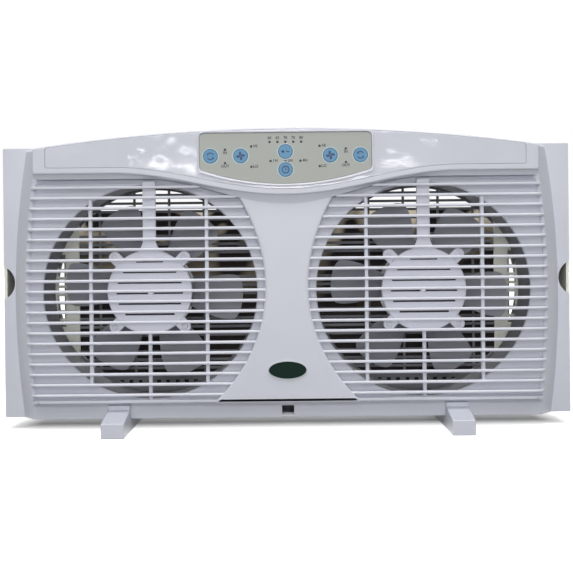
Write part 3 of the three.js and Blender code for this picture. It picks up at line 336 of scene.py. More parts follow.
# Darker grey for the side panels: painted shade of the deep notches on the body's white plastic.
side_panel_painted_shade = finish("side_panel_painted_shade", paint(176, 176, 168), 0.5, drift=0.05)
# A lighter copy of the body's white: painted light on the slats', discs' and screws' lit faces.
body_white_painted_light = finish("body_white_painted_light", paint(226, 228, 238), 0.42)
ink_navy = finish("ink_navy", paint(22, 50, 96), 0.5, drift=0.1)
ink_dark = finish("ink_dark", paint(48, 50, 54), 0.5, drift=0.1)
ring_white = finish("ring_white", paint(200, 206, 208), 0.4)
ring_blue = finish("ring_blue", paint(188, 206, 214), 0.4)
motor_black = finish("motor_black", paint(62, 63, 66), 0.5, metal=0.4, drift=0.1)
print("finishes:", sorted(FINISHES))

# %% [markdown]
# Shapes start as outlines: lists of points in the plane of the fan's face. Blender's curves could hold
# them too, but plain points are easy to bow, inset and round by a formula.

# %% Outlines
def spread(start, end, steps):
    """steps + 1 even places from start to end."""
    return [start + (end - start) * i / steps for i in range(steps + 1)]


def row(count, pitch):
    """Offsets of a centred row."""
    return [(i - (count - 1) / 2) * pitch for i in range(count)]


def circle(radius, x=0.0, z=0.0, steps=64, width=1.0):
    """Closed round outline, or an oval one where width stretches it."""
    return [(x + width * radius * cos(2 * pi * i / steps), z + radius * sin(2 * pi * i / steps))
            for i in range(steps)]


def rectangle(x0, x1, z0, z1):
    return [(x0, z0), (x1, z0), (x1, z1), (x0, z1)]


def anticlockwise(outline):
    area = sum(a[0] * b[1] - b[0] * a[1] for a, b in zip(outline, outline[1:] + outline[:1]))
    return outline if area > 0 else outline[::-1]


def inset(outline, distance):
    """Moves an anticlockwise outline inwards, or a clockwise one outwards."""
    moved = []
    for i, point in enumerate(outline):
        here, before, after = Vector(point), Vector(outline[i - 1]), Vector(outline[(i + 1) % len(outline)])
        a, b = (here - before).normalized(), (after - here).normalized()
        mitre = Vector((-a.y - b.y, a.x + b.x))
        moved.append(tuple(here + mitre * distance * 2 / max(mitre.length_squared, 0.5)))
    return moved


def rounded(outline, radius, steps=4, corners=None):
    """Rounds the corners of a closed outline."""
    result = []
    for i, point in enumerate(outline):
        here, before, after = Vector(point), Vector(outline[i - 1]), Vector(outline[(i + 1) % len(outline)])
        back, on = before - here, after - here
        if corners is not None and i not in corners:
            result.append(point)
            continue
        reach = min(radius / tan(back.angle(on) / 2), 0.45 * back.length, 0.45 * on.length)
        start, end = here + back.normalized() * reach, here + on.normalized() * reach
        for t in spread(0, 1, steps):
            result.append(tuple(start.lerp(here, t).lerp(here.lerp(end, t), t)))
    return result


print("an outline of a circle has", len(circle(1.0)), "points")

# %% [markdown]
# Most of the fan is sheet-like mouldings, turned rings and lofted skins. Three makers cover them: a plate
# from an outline with holes, a solid turned round its axis, and a skin over rings. The plate rounds its
# own edges, because a bevel after a cut tears easily on long thin faces.

# %% Plates, turned solids and skins
def closed(bm):
    """Merges doubles, turns the faces outwards and gives the mesh."""
    bmesh.ops.remove_doubles(bm, verts=bm.verts, dist=1e-7)
    bmesh.ops.recalc_face_normals(bm, faces=bm.faces)
    mesh = bpy.data.meshes.new("shape")
    bm.to_mesh(mesh)
    bm.free()
    return mesh


def bridge(bm, low, high):
    """Faces between two rings, of which one may be a single pole."""
    count = max(len(low), len(high))
    for i in range(count):
        j = (i + 1) % count
        corners = [low[i % len(low)], low[j % len(low)], high[j % len(high)], high[i % len(high)]]
        bm.faces.new(list(dict.fromkeys(corners)))


def plate(outline, front, back, edge=0.0, holes=(), steps=3):
    """Plate between two planes, with its outline and holes rounded over at both faces."""
    loops = [anticlockwise(outline)] + [anticlockwise(hole)[::-1] for hole in holes]
    turns = spread(0, pi / 2, steps) if edge else [pi / 2]
    levels = [(edge * (1 - sin(a)), front + edge * (1 - cos(a))) for a in turns]
    levels += [(edge * (1 - sin(a)), back - edge * (1 - cos(a))) for a in reversed(turns)]
    bm = bmesh.new()
    rings = [[[bm.verts.new((x, y, z)) for x, z in inset(loop, step)] for step, y in levels]
             for loop in loops]
    for loop_rings in rings:
        for low, high in zip(loop_rings, loop_rings[1:]):
            bridge(bm, low, high)
    for level in (0, -1):
        verts = [vert for loop_rings in rings for vert in loop_rings[level]]
        for face in tessellate_polygon([[v.co for v in loop_rings[level]] for loop_rings in rings]):
            if len(set(face)) == 3:
                bm.faces.new([verts[i] for i in face])
    return closed(bm)


def lathe(profile, segments=96):
    """Solid turned round the Y axis, from a closed profile of (radius, y)."""
    bm = bmesh.new()
    rings = []
    for radius, y in profile:
        turns = [2 * pi * i / segments for i in range(segments)] if radius > 1e-7 else [0]
        rings.append([bm.verts.new((radius * cos(t), y, radius * sin(t))) for t in turns])
    for low, high in zip(rings, rings[1:] + rings[:1]):
        if len(low) > 1 or len(high) > 1:
            bridge(bm, low, high)
    return closed(bm)


def loft(rings):
    """Skin over rings of points with one count, capped at both ends."""
    bm = bmesh.new()
    verts = [[bm.verts.new(point) for point in ring] for ring in rings]
    for low, high in zip(verts, verts[1:]):
        bridge(bm, low, high)
    for ring in (verts[0], verts[-1]):
        for face in tessellate_polygon([[v.co for v in ring]]):
            if len(set(face)) == 3:
                bm.faces.new([ring[i] for i in face])
    return closed(bm)


def level(outline, y):
    """Outline of (x, z) as points at one depth."""
    return [(x, y, z) for x, z in outline]


def box(x0, x1, y0, y1, z0, z1, edge=0.0):
    return plate(rectangle(min(x0, x1), max(x0, x1), min(z0, z1), max(z0, z1)),
                 min(y0, y1), max(y0, y1), edge)


print("a plain box has", len(box(0, 1, 0, 1, 0, 1).polygons), "faces")

# %% [markdown]
# Mouldings are joined and cut like clay: walls, lugs and arms are added, then openings and slots are taken
# away. Exact booleans on closed meshes leave the crisp inner corners of a real mould, which a remesh would
# round off.

# %% Copies, cuts and joins
def moved(mesh, x=0.0, y=0.0, z=0.0):
    mesh = mesh.copy()
    mesh.transform(Matrix.Translation((x, y, z)))
    return mesh


def turned(mesh, count, first):
    """Copies of a mesh round the Y axis, as separate meshes for cuts and joins."""
    copies = []
    for i in range(count):
        copy = mesh.copy()
        copy.transform(Matrix.Rotation(first + i * 2 * pi / count, 4, "Y"))
        copies.append(copy)
    return copies


def together(*meshes):
    """Separate closed meshes as one mesh."""
    bm = bmesh.new()
    for mesh in meshes:
        bm.from_mesh(mesh)
    joined = bpy.data.meshes.new("shape")
    bm.to_mesh(joined)
    bm.free()
    return joined


def evaluated(holder):
    """The mesh that an object's modifiers give, as a plain mesh. The object goes."""
    graph = bpy.context.evaluated_depsgraph_get()
    mesh = bpy.data.meshes.new_from_object(holder.evaluated_get(graph), depsgraph=graph)
    bpy.data.objects.remove(holder)
    return mesh


def shaped(base, *tools, how="DIFFERENCE"):
    """Cuts closed meshes out of a closed mesh, joins them to it, or keeps the overlap."""
    holder = bpy.data.objects.new("holder", base)
    scene.collection.objects.link(holder)
    cutters = []
    for tool in tools:
        cutter = bpy.data.objects.new("cutter", tool)
        scene.collection.objects.link(cutter)
        cutters.append(cutter)
        step = holder.modifiers.new("tool", "BOOLEAN")
        step.operation, step.solver, step.object = how, "MANIFOLD", cutter
    mesh = evaluated(holder)
    for cutter in cutters:
        bpy.data.objects.remove(cutter)
    return mesh


halves = shaped(box(0, 2, 0, 1, 0, 1), box(1, 3, -1, 2, -1, 2))
print("a box cut in half is", max(v.co.x for v in halves.vertices), "wide")

# %% [markdown]
# A finished mesh becomes a piece: it gets its finish, smooth faces with sharp creases, and the body that
# carries it. Weighted normals keep large flat faces flat beside small rounded edges.

# %% Placing a piece
SIDES = (("left", -1), ("right", 1))


def piece(name, mesh, slot, stands_for=(), body="frame", material=None, crease=38):
    """Puts a finished mesh into the scene, on its body, in its finish."""
    mesh.name = name
    mesh.materials.clear()
    mesh.materials.append(material or FINISHES[slot])
    mesh.shade_smooth()
    mesh.set_sharp_from_angle(angle=radians(crease))
    thing = bpy.data.objects.new(name, mesh)
    scene.collection.objects.link(thing)
    thing.modifiers.new("even_faces", "WEIGHTED_NORMAL").keep_sharp = True
    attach(thing, body)
    if stands_for:
        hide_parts(*stands_for)
    print("made:", name, len(mesh.polygons), "faces")
    return thing


def pair(name, mesh, slot, stands_for, rides="frame", material=None):
    """The same piece at the left fan and at the right one."""
    for side, sign in SIDES:
        piece(f"{name}_{side}", moved(mesh, sign * FAN_X, 0, FAN_Z), slot, [f"{stands_for}_{side}"],
              rides.format(side=side), material)


print("each side piece is made for", [side for side, _ in SIDES])

# %% [markdown]
# Slats, bars, blades, screws and lamps repeat. Copying them by hand would work, but a node tree keeps the
# rule in view. Each tree here ends in real geometry with its material, because instances don't survive an
# export.

# %% Start and end of a tree
def new_tree(name, inputs):
    tree = bpy.data.node_groups.new(name, "GeometryNodeTree")
    tree.interface.new_socket("Geometry", in_out="INPUT", socket_type="NodeSocketGeometry")
    tree.interface.new_socket("Geometry", in_out="OUTPUT", socket_type="NodeSocketGeometry")
    for label, kind in inputs.items():
        tree.interface.new_socket(label, in_out="INPUT", socket_type="NodeSocket" + kind)
    tree.interface.new_socket("Material", in_out="INPUT", socket_type="NodeSocketMaterial")
    return tree, tree.nodes.new("NodeGroupInput")


def end_tree(tree, given, geometry):
    """Realizes instances, sets the material and closes the tree."""
    real = add(tree, "GeometryNodeRealizeInstances", {"Geometry": geometry})
    coated = add(tree, "GeometryNodeSetMaterial",
                 {"Geometry": out(real), "Material": out(given, "Material")})
    tree.links.new(out(coated), tree.nodes.new("NodeGroupOutput").inputs["Geometry"])


print("trees so far:", len(bpy.data.node_groups))

# %% [markdown]
# Two trees make bars. One sweeps a soft-edged section along bent paths, for the slats. The other stretches
# one bar to the chord of a circle at each height, for the round grilles.

# %% Trees for bars
swept_bars, given = new_tree("swept_bars", {
    "Depth": "Float", "Height": "Float", "Edge radius": "Float", "Bend radius": "Float"})
paths = add(swept_bars, "GeometryNodeMeshToCurve", {"Mesh": out(given, "Geometry")})
bent = add(swept_bars, "GeometryNodeFilletCurve",
           {"Curve": out(paths), "Radius": out(given, "Bend radius")}, mode="POLY")
socket(bent.inputs, "Count").default_value = 8
level_path = add(swept_bars, "GeometryNodeSetCurveNormal", {"Curve": out(bent)}, mode="Z_UP")
section = add(swept_bars, "GeometryNodeCurvePrimitiveQuadrilateral",
              {"Width": out(given, "Depth"), "Height": out(given, "Height")})
soft_section = add(swept_bars, "GeometryNodeFilletCurve",
                   {"Curve": out(section), "Radius": out(given, "Edge radius")}, mode="POLY")
socket(soft_section.inputs, "Count").default_value = 3
skin = add(swept_bars, "GeometryNodeCurveToMesh",
           {"Curve": out(level_path), "Profile Curve": out(soft_section), "Fill Caps": True})
end_tree(swept_bars, given, out(skin))

chord_bars, given = new_tree("chord_bars", {
    "Bar": "Object", "Radius": "Float", "Pitch": "Float", "First": "Float", "Count": "Int"})
start_place = add(chord_bars, "ShaderNodeCombineXYZ", {"Z": out(given, "First")})
step_place = add(chord_bars, "ShaderNodeCombineXYZ", {"Z": out(given, "Pitch")})
line = add(chord_bars, "GeometryNodeMeshLine", {
    "Count": out(given, "Count"), "Start Location": out(start_place), "Offset": out(step_place)})
bar_place = out(add(chord_bars, "GeometryNodeInputPosition"))
here = add(chord_bars, "ShaderNodeSeparateXYZ", {"Vector": bar_place})
radius_squared = math(chord_bars, "MULTIPLY", out(given, "Radius"), out(given, "Radius"))
height_squared = math(chord_bars, "MULTIPLY", out(here, "Z"), out(here, "Z"))
half_chord = math(chord_bars, "SQRT", math(chord_bars, "SUBTRACT", radius_squared, height_squared))
stretch = add(chord_bars, "ShaderNodeCombineXYZ",
              {"X": math(chord_bars, "MULTIPLY", half_chord, 2.0), "Y": 1.0, "Z": 1.0})
bar = add(chord_bars, "GeometryNodeObjectInfo", {"Object": out(given, "Bar")})
placed = add(chord_bars, "GeometryNodeInstanceOnPoints", {
    "Points": out(line), "Instance": out(bar, "Geometry"), "Scale": out(stretch)})
end_tree(chord_bars, given, out(placed))

print("bars:", [tree.name for tree in (swept_bars, chord_bars)])

# %% [markdown]
# Two more trees make copies. One turns them evenly round the Y axis, for blades. The other sets one on
# each guide point with a turn of its own, from a fixed seed, for screws, lamps and key rings.

# %% Trees for copies
def copies_on(tree, given, points, turn):
    """Ends a tree with a copy of its piece on each point, turned round Y."""
    turn_vector = add(tree, "ShaderNodeCombineXYZ", {"Y": turn})
    spin = add(tree, "FunctionNodeEulerToRotation", {"Euler": out(turn_vector)})
    source = add(tree, "GeometryNodeObjectInfo", {"Object": out(given, "Piece")})
    copies = add(tree, "GeometryNodeInstanceOnPoints", {
        "Points": points, "Instance": out(source, "Geometry"), "Rotation": out(spin)})
    end_tree(tree, given, out(copies))


turned_copies, given = new_tree("turned_copies", {"Piece": "Object", "Count": "Int", "First turn": "Float"})
points = add(turned_copies, "GeometryNodePoints", {"Count": out(given, "Count")})
full_turn = math(turned_copies, "DIVIDE", 2 * pi, out(given, "Count"))
own_turn = math(turned_copies, "MULTIPLY", out(add(turned_copies, "GeometryNodeInputIndex")), full_turn)
copies_on(turned_copies, given, out(points),
          math(turned_copies, "ADD", own_turn, out(given, "First turn")))

placed_copies, given = new_tree("placed_copies", {"Piece": "Object", "Turn": "Float", "Seed": "Int"})
chance = add(placed_copies, "FunctionNodeRandomValue",
             {"Max": out(given, "Turn"), "Seed": out(given, "Seed")}, data_type="FLOAT")
copies_on(placed_copies, given, out(given, "Geometry"), out(chance))
print("copies:", [tree.name for tree in (turned_copies, placed_copies)])

# %% [markdown]
# A tree is run once on its guide points and then dropped, so that only its plain mesh stays in the scene.
# Its inputs are set by each socket's identifier before the first evaluation.

# %% Running a tree
def grown(tree, values, points=(), edges=()):
    """Runs a tree on guide points and edges, and gives the result as a plain mesh."""
    guide = bpy.data.meshes.new("guide")
    guide.from_pydata(list(points), list(edges), [])
    holder = bpy.data.objects.new("holder", guide)
    scene.collection.objects.link(holder)
    masters = []
    steps = holder.modifiers.new("grow", "NODES")
    steps.node_group = tree
    for item in tree.interface.items_tree:
        if item.in_out == "INPUT" and item.name in values:
            value = values[item.name]
            if isinstance(value, bpy.types.Mesh):
                value = bpy.data.objects.new("master", value)
                scene.collection.objects.link(value)
                masters.append(value)
            steps[item.identifier] = value
    mesh = evaluated(holder)
    for master in masters:
        bpy.data.objects.remove(master)
    bm = bmesh.new()
    bm.from_mesh(mesh)
    return closed(bm)


print("trees:", [tree.name for tree in bpy.data.node_groups])

# %% [markdown]
# The frame gives the main places. The bowed outline of the front is one rule: sides that swell by a
# centimetre and a low parabola for the arch. The housing, the grille and the top cover all follow it.

# %% Shared measures and outlines
WALL = 2.5 * MM
GAP = 0.3 * MM
HALF_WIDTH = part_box("front_housing")[1].x
BOTTOM_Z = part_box("front_housing")[0].z
APEX_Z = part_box("front_housing")[1].z
FLOOR_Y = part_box("front_housing")[0].y
TOP_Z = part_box("rear_housing")[1].z
TRAY_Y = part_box("rear_housing")[0].y
REAR_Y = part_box("rear_housing")[1].y
SEAT_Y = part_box("front_grille")[1].y
SLAT_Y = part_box("front_grille")[0].y
FLANGE_Y = TRAY_Y - GAP - WALL
REAR_WALL_Y = REAR_Y - WALL
DUCT_RADIUS = (DUCT_HIGH.x - DUCT_LOW.x) / 2
OPENING_RADIUS = DUCT_RADIUS - WALL
MIDDLE_Z = (BOTTOM_Z + TOP_Z) / 2

FLANGE_WIDTH = 13 * MM
SLOPE_RUN = 16 * MM
BOW = 10 * MM
BOW_CENTRE = FAN_Z - 5 * MM
BOW_REACH = 140 * MM
ARCH_RISE = 20 * MM
CORNER_Z = APEX_Z - ARCH_RISE
PLATEAU_HALF = HALF_WIDTH - FLANGE_WIDTH - SLOPE_RUN


def side_x(z, half):
    """Half width of a bowed outline at one height."""
    return half - BOW * ((z - BOW_CENTRE) / BOW_REACH) ** 2


def body_outline(half, low, draw_in=0.0, steps=40):
    low, high, half = low + draw_in, CORNER_Z - draw_in, half - draw_in
    right = [(side_x(z, half), z) for z in spread(low, high, steps)]
    corner = right[-1][0]
    arch = [(x, high + ARCH_RISE * (1 - (x / corner) ** 2)) for x in spread(corner, -corner, 2 * steps)]
    return right + arch[1:-1] + [(-x, z) for x, z in reversed(right)]


def bell(x, span):
    return (1 + cos(pi * x / span)) / 2 if abs(x) < span else 0.0


def wave_z(x):
    """Lower edge of the top cover's face."""
    return TOP_Z - 33 * MM - 25 * MM * bell(x, 190 * MM)


def ledge_z(x):
    """Lower edge of the top cover where it meets the grille."""
    return TOP_Z - 38 * MM - 29 * MM * bell(x, 155 * MM)


print("openings:", round(OPENING_RADIUS, 4), "at", round(FAN_X, 4), round(FAN_Z, 4))

# %% [markdown]
# The front housing is one deep moulding: flat side flanges with a half-round finger notch, sloped sides,
# and a raised floor plate with the two round openings. A few lofted and flat solids are joined and cut,
# as a mould would leave them. The notch and slope edges stay crisp, and the plate's edge is broken.

# %% Front housing
NOTCH_CHORD = 37 * MM
NOTCH_DEPTH = 12.5 * MM
RELEASE_HALF = 6.7 * MM
EDGE_BREAK = 0.8 * MM

notch_radius = ((NOTCH_CHORD / 2) ** 2 + NOTCH_DEPTH ** 2) / (2 * NOTCH_DEPTH)
notch_x = HALF_WIDTH - NOTCH_DEPTH + notch_radius
flange = plate(rounded(rectangle(-HALF_WIDTH, HALF_WIDTH, BOTTOM_Z, TOP_Z), 1.5 * MM),
               FLANGE_Y, FLANGE_Y + WALL, 0.5 * MM)
base_half = PLATEAU_HALF + SLOPE_RUN
hill = loft([
    level(body_outline(base_half, BOTTOM_Z), FLANGE_Y),
    level(body_outline(PLATEAU_HALF + 0.05 * SLOPE_RUN, BOTTOM_Z), FLOOR_Y + EDGE_BREAK),
    level(body_outline(PLATEAU_HALF, BOTTOM_Z, 0.2 * MM), FLOOR_Y + 0.3 * EDGE_BREAK),
    level(body_outline(PLATEAU_HALF, BOTTOM_Z, EDGE_BREAK), FLOOR_Y),
])
hollow = loft([
    level(body_outline(base_half, BOTTOM_Z, WALL), FLANGE_Y - MM / 10),
    level(body_outline(PLATEAU_HALF, BOTTOM_Z, WALL), FLOOR_Y + WALL),
])
mouth = box(-PLATEAU_HALF, PLATEAU_HALF, FLANGE_Y - MM, FLANGE_Y + WALL + MM,
            BOTTOM_Z + WALL, CORNER_Z - 2 * WALL)
opening = lathe([(0, FLOOR_Y - MM), (OPENING_RADIUS + 2 * MM, FLOOR_Y - MM), (OPENING_RADIUS, FLOOR_Y + MM),
                 (OPENING_RADIUS, FLOOR_Y + WALL + MM), (0, FLOOR_Y + WALL + MM)], 160)
openings = [moved(opening, sign * FAN_X, 0, FAN_Z) for _, sign in SIDES]
notches = [plate(circle(notch_radius, sign * notch_x, MIDDLE_Z, 96), FLANGE_Y - MM, FLANGE_Y + WALL + MM)
           for _, sign in SIDES]
release = box(-RELEASE_HALF, RELEASE_HALF, FLOOR_Y - MM, FLANGE_Y - WALL,
              BOTTOM_Z - MM, BOTTOM_Z + 2 * RELEASE_HALF)
housing = shaped(shaped(flange, hill, how="UNION"), hollow, mouth, release, *openings, *notches)
piece("housing_shell", housing, "body_plastic", ["front_housing"])

# %% [markdown]
# Behind sits the rear housing, a tray with a flat back, a channel below and one above. Its sides stay
# open, because the side panels slide out there. The back view shows it all, so its round apertures are
# cut smooth here instead of keeping the frame's coarse facets.

# %% Rear housing
NOTCH_WALL_X = HALF_WIDTH - NOTCH_DEPTH - MM
RAIL_BACK = REAR_WALL_Y - 3.1 * MM
RAIL_DEPTH = 2.4 * MM
RAIL_HEIGHT = 4 * MM
RAIL_START = 195 * MM
RAIL_END = 314 * MM
GLAND_Z = BOTTOM_Z + 40 * MM
GLAND_HOLE_RADIUS = 6.6 * MM
EXTENDER_PLATE_Y = 34.7 * MM

tray = plate(rounded(rectangle(-HALF_WIDTH, HALF_WIDTH, BOTTOM_Z, TOP_Z), 2 * MM), TRAY_Y, REAR_Y, 0.8 * MM)
tray_room = box(-HALF_WIDTH - MM, HALF_WIDTH + MM, TRAY_Y - MM, REAR_WALL_Y, BOTTOM_Z + WALL, TOP_Z - WALL)
aperture = plate(circle(DUCT_RADIUS, steps=160), REAR_WALL_Y - MM, REAR_Y + MM)
apertures = [moved(aperture, sign * FAN_X, 0, FAN_Z) for _, sign in SIDES]
gland_hole = plate(circle(GLAND_HOLE_RADIUS, 0, GLAND_Z, 48), REAR_WALL_Y - MM, REAR_Y + MM)
tray = shaped(tray, tray_room, gland_hole, *apertures)
low_rail = (BOTTOM_Z + MM, BOTTOM_Z + WALL + RAIL_HEIGHT)
high_rail = (TOP_Z - WALL - RAIL_HEIGHT, TOP_Z - MM)
inner_parts = []
for _, sign in SIDES:
    inner_parts.append(box(sign * (NOTCH_WALL_X - WALL), sign * NOTCH_WALL_X,
                           TRAY_Y, EXTENDER_PLATE_Y - GAP, BOTTOM_Z + MM, TOP_Z - MM))
    for low, high in (low_rail, high_rail):
        inner_parts.append(box(sign * RAIL_START, sign * RAIL_END,
                               RAIL_BACK - RAIL_DEPTH, RAIL_BACK, low, high))
tray = shaped(tray, *inner_parts, how="UNION")
piece("rear_tray", tray, "body_plastic", ["rear_housing"])

# %% [markdown]
# Pieces that the frame already shapes well keep their frame mesh: side panels, feet, boards and the parts
# on them. Live modifiers weld the loose triangles, clear flat faces of needless edges, and round what is
# left, so that each edge catches light. The frame mesh itself isn't touched.

# %% Pieces that keep their frame shape
smooth_shade, given = new_tree("smooth_shade", {})
end_tree(smooth_shade, given, out(add(smooth_shade, "GeometryNodeSetShadeSmooth",
                                      {"Geometry": out(given, "Geometry")})))


def dress(name, slot, edge, steps, material=None, clear_flats=True):
    """Rounds a frame piece's edges with live modifiers and gives it its finish. The side panels keep their
    triangles, because a flat face round many small windows shades badly."""
    thing = nodes[name]
    coat = material or FINISHES[slot]
    thing.data.materials.clear()
    thing.data.materials.append(coat)
    thing.modifiers.new("weld", "WELD").merge_threshold = 1e-6
    if clear_flats:
        flat = thing.modifiers.new("flat", "DECIMATE")
        flat.decimate_type, flat.angle_limit = "DISSOLVE", radians(1)
    bevel = thing.modifiers.new("edges", "BEVEL")
    bevel.width, bevel.segments, bevel.angle_limit = edge, steps, radians(40)
    bevel.limit_method = "ANGLE"
    shade = thing.modifiers.new("shade", "NODES")
    shade.node_group = smooth_shade
    for item in smooth_shade.interface.items_tree:
        if item.name == "Material":
            shade[item.identifier] = coat
    thing.modifiers.new("even_faces", "WEIGHTED_NORMAL").keep_sharp = True
    print("dressed:", name)


# The side panels take a darker grey than the body's white: painted shade of the deep finger notches.
for side, _ in SIDES:
    dress(f"foot_{side}", "body_plastic", 1.1 * MM, 4)
    dress(f"extender_{side}", "shade_plastic", 0.4 * MM, 2, side_panel_painted_shade, clear_flats=False)
    dress(f"run_capacitor_{side}", "dark_plastic", 1.2 * MM, 4)
    dress(f"wire_loom_{side}", "dark_plastic", 0.1 * MM, 1)
dress("power_board", "board_green", 0.3 * MM, 2)
dress("control_board", "board_green", 0.3 * MM, 2)
dress("transformer", "steel", 0.5 * MM, 2)

# %% [markdown]
# Each fan blows through a duct ring between the floor plate and the rear wall. It is a plain short tube,
# turned here with rounded lips, and with the small notch that lets the motor's wires out.

# %% Duct rings
DUCT_FRONT = DUCT_LOW.y
DUCT_BACK = DUCT_HIGH.y

tube_profile = rounded([(OPENING_RADIUS, DUCT_FRONT), (DUCT_RADIUS, DUCT_FRONT), (DUCT_RADIUS, DUCT_BACK),
                        (OPENING_RADIUS, DUCT_BACK)], 0.8 * MM, 3)
duct = lathe(tube_profile, 160)
duct = shaped(duct, box(-3 * MM, 3 * MM, DUCT_FRONT - MM, DUCT_FRONT + 4.5 * MM,
                        OPENING_RADIUS - 2 * MM, DUCT_RADIUS + 2 * MM))
# The duct takes the grey finish: painted shade on white plastic.
pair("duct", duct, "shade_plastic", "duct_ring")

# %% [markdown]
# The rear grille is a ring filled with level bars, a few uprights behind them, and a solid sill with a row
# of small square holes. The bars are one bar stretched to the chord of the circle at each height, which a
# field of the tree works out; only their length stretches, so the section stays true.

# %% Rear grilles
GRILLE_RADIUS = DUCT_RADIUS - GAP
RING_WIDTH = 4 * MM
LIP = 4 * MM
LIP_FRONT = REAR_WALL_Y - GAP - WALL
BAR_PITCH = 9.7 * MM
BAR_HEIGHT = 3 * MM
BAR_DEPTH = 2.2 * MM
BAR_Y = REAR_Y - 5.2 * MM
UPRIGHT_PITCH = 41 * MM
UPRIGHT_SHIFT = 14 * MM
SILL_TOP = -103 * MM
SILL_SPREAD = 0.52
HOLE_COUNT = 9
HOLE_PITCH = 10.9 * MM
HOLE_WIDTH = 5.3 * MM
HOLE_HEIGHT = 4 * MM
HOLE_TOP = SILL_TOP - 3 * MM


def unit_bar(depth, height):
    """Bar of length 1 along X with a rounded section."""
    section = rounded(rectangle(-depth / 2, depth / 2, -height / 2, height / 2), 0.7 * MM, 3)
    return loft([[(x, y, z) for y, z in section] for x in (-0.5, 0.5)])


grille_ring = lathe(rounded([
    (GRILLE_RADIUS - RING_WIDTH, LIP_FRONT), (GRILLE_RADIUS + LIP, LIP_FRONT),
    (GRILLE_RADIUS + LIP, REAR_WALL_Y - GAP), (GRILLE_RADIUS, REAR_WALL_Y - GAP),
    (GRILLE_RADIUS, REAR_Y), (GRILLE_RADIUS - RING_WIDTH, REAR_Y)], 0.5 * MM, 2), 160)
span = GRILLE_RADIUS - RING_WIDTH / 2
bar_count = 2 * int(GRILLE_RADIUS / BAR_PITCH)
bar_rows = [z for z in row(bar_count, BAR_PITCH) if z > SILL_TOP]
level_bars = grown(chord_bars, {
    "Bar": unit_bar(BAR_DEPTH, BAR_HEIGHT), "Radius": span, "Pitch": BAR_PITCH, "First": bar_rows[0],
    "Count": len(bar_rows)})
uprights = grown(chord_bars, {
    "Bar": unit_bar(BAR_DEPTH, BAR_HEIGHT), "Radius": span, "Pitch": UPRIGHT_PITCH,
    "First": UPRIGHT_SHIFT - 3 * UPRIGHT_PITCH, "Count": 5})
uprights.transform(Matrix.Rotation(pi / 2, 4, "Y"))
sill_start = -pi / 2 - SILL_SPREAD
sill_edge = [(span * cos(a), span * sin(a)) for a in spread(sill_start, -pi - sill_start, 48)
             if span * sin(a) < SILL_TOP]
sill_holes = [rectangle(x - HOLE_WIDTH / 2, x + HOLE_WIDTH / 2, HOLE_TOP - HOLE_HEIGHT, HOLE_TOP)
              for x in row(HOLE_COUNT, HOLE_PITCH)]
sill = plate(sill_edge, BAR_Y, BAR_Y + 2 * BAR_DEPTH + GAP, 0.3 * MM, sill_holes)
# The rear grilles take the grey finish: painted shade on what is the body's white plastic.
for side, sign in SIDES:
    uprights_here = uprights.copy()
    if sign > 0:
        uprights_here.transform(Matrix.Rotation(pi, 4, "Y"))
    grille = together(grille_ring, sill, moved(level_bars, 0, BAR_Y + BAR_DEPTH / 2, 0),
                      moved(uprights_here, 0, BAR_Y + 1.5 * BAR_DEPTH + GAP, 0))
    piece(f"rear_guard_{side}", moved(grille, sign * FAN_X, 0, FAN_Z), "shade_plastic",
          [f"rear_grille_{side}"])

# %% [markdown]
# In front of each motor sits a pale slotted disc with four screw lugs on its diagonals, a wide arm up and
# a thin strut down. Rounded plates joined by exact unions leave the sharp V between disc and lug that
# shows between the slats. The slots are cut last.

# %% Motor covers
COVER_RADIUS = 47 * MM
COVER_EDGE = 1.5 * MM
COVER_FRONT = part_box("motor_cover_left")[0].y
LUG_OFFSET = 38.5 * MM
LUG_RADIUS = 6.6 * MM
LUG_ROOT = 42 * MM
LUG_FRONT = COVER_FRONT + MM
ARM_FRONT = COVER_FRONT + 0.5 * MM
ARM_HALF = 7.2 * MM
ARM_ROOT_HALF = 11.5 * MM
STRUT_HALF = 2 * MM
ARM_REACH = OPENING_RADIUS + 4 * MM
SLOT_COUNT = 6
SLOT_PITCH = 11.7 * MM
SLOT_CIRCLE = COVER_RADIUS - 10 * MM
SLOT_HALF_HEIGHT = 1.1 * MM
SLOT_SHIFT = 4.5 * MM

disc_edge = [(COVER_RADIUS - COVER_EDGE * (1 - sin(a)), COVER_FRONT + COVER_EDGE * (1 - cos(a)))
             for a in spread(0, pi / 2, 4)]
skirt_inside = COVER_RADIUS - 2 * MM
disc = lathe([(0, COVER_FRONT)] + disc_edge + [
    (COVER_RADIUS, SEAT_Y), (skirt_inside, SEAT_Y), (skirt_inside, COVER_FRONT + WALL),
    (0, COVER_FRONT + WALL)], 128)
lug_ends = [(sx, sz) for sx in (-1, 1) for sz in (-1, 1)]
lug_reach = LUG_OFFSET * sqrt(2)
lug_outline = [(LUG_RADIUS * sin(a), lug_reach + LUG_RADIUS * cos(a)) for a in spread(-pi / 2, pi / 2, 16)]
lug_outline += [(LUG_RADIUS, LUG_ROOT), (-LUG_RADIUS, LUG_ROOT)]
lugs = turned(plate(lug_outline, LUG_FRONT, SEAT_Y, 0.8 * MM), 4, pi / 4)
arm_side = [(ARM_ROOT_HALF, 45 * MM), (ARM_HALF, 55 * MM), (ARM_HALF, ARM_REACH)]
arm = plate(arm_side + [(-x, z) for x, z in reversed(arm_side)], ARM_FRONT, SEAT_Y, 0.7 * MM)
strut = plate(rectangle(-STRUT_HALF, STRUT_HALF, -ARM_REACH, -46 * MM), ARM_FRONT, SEAT_Y, 0.6 * MM)
cover = shaped(disc, *lugs, arm, strut, how="UNION")
slots = []
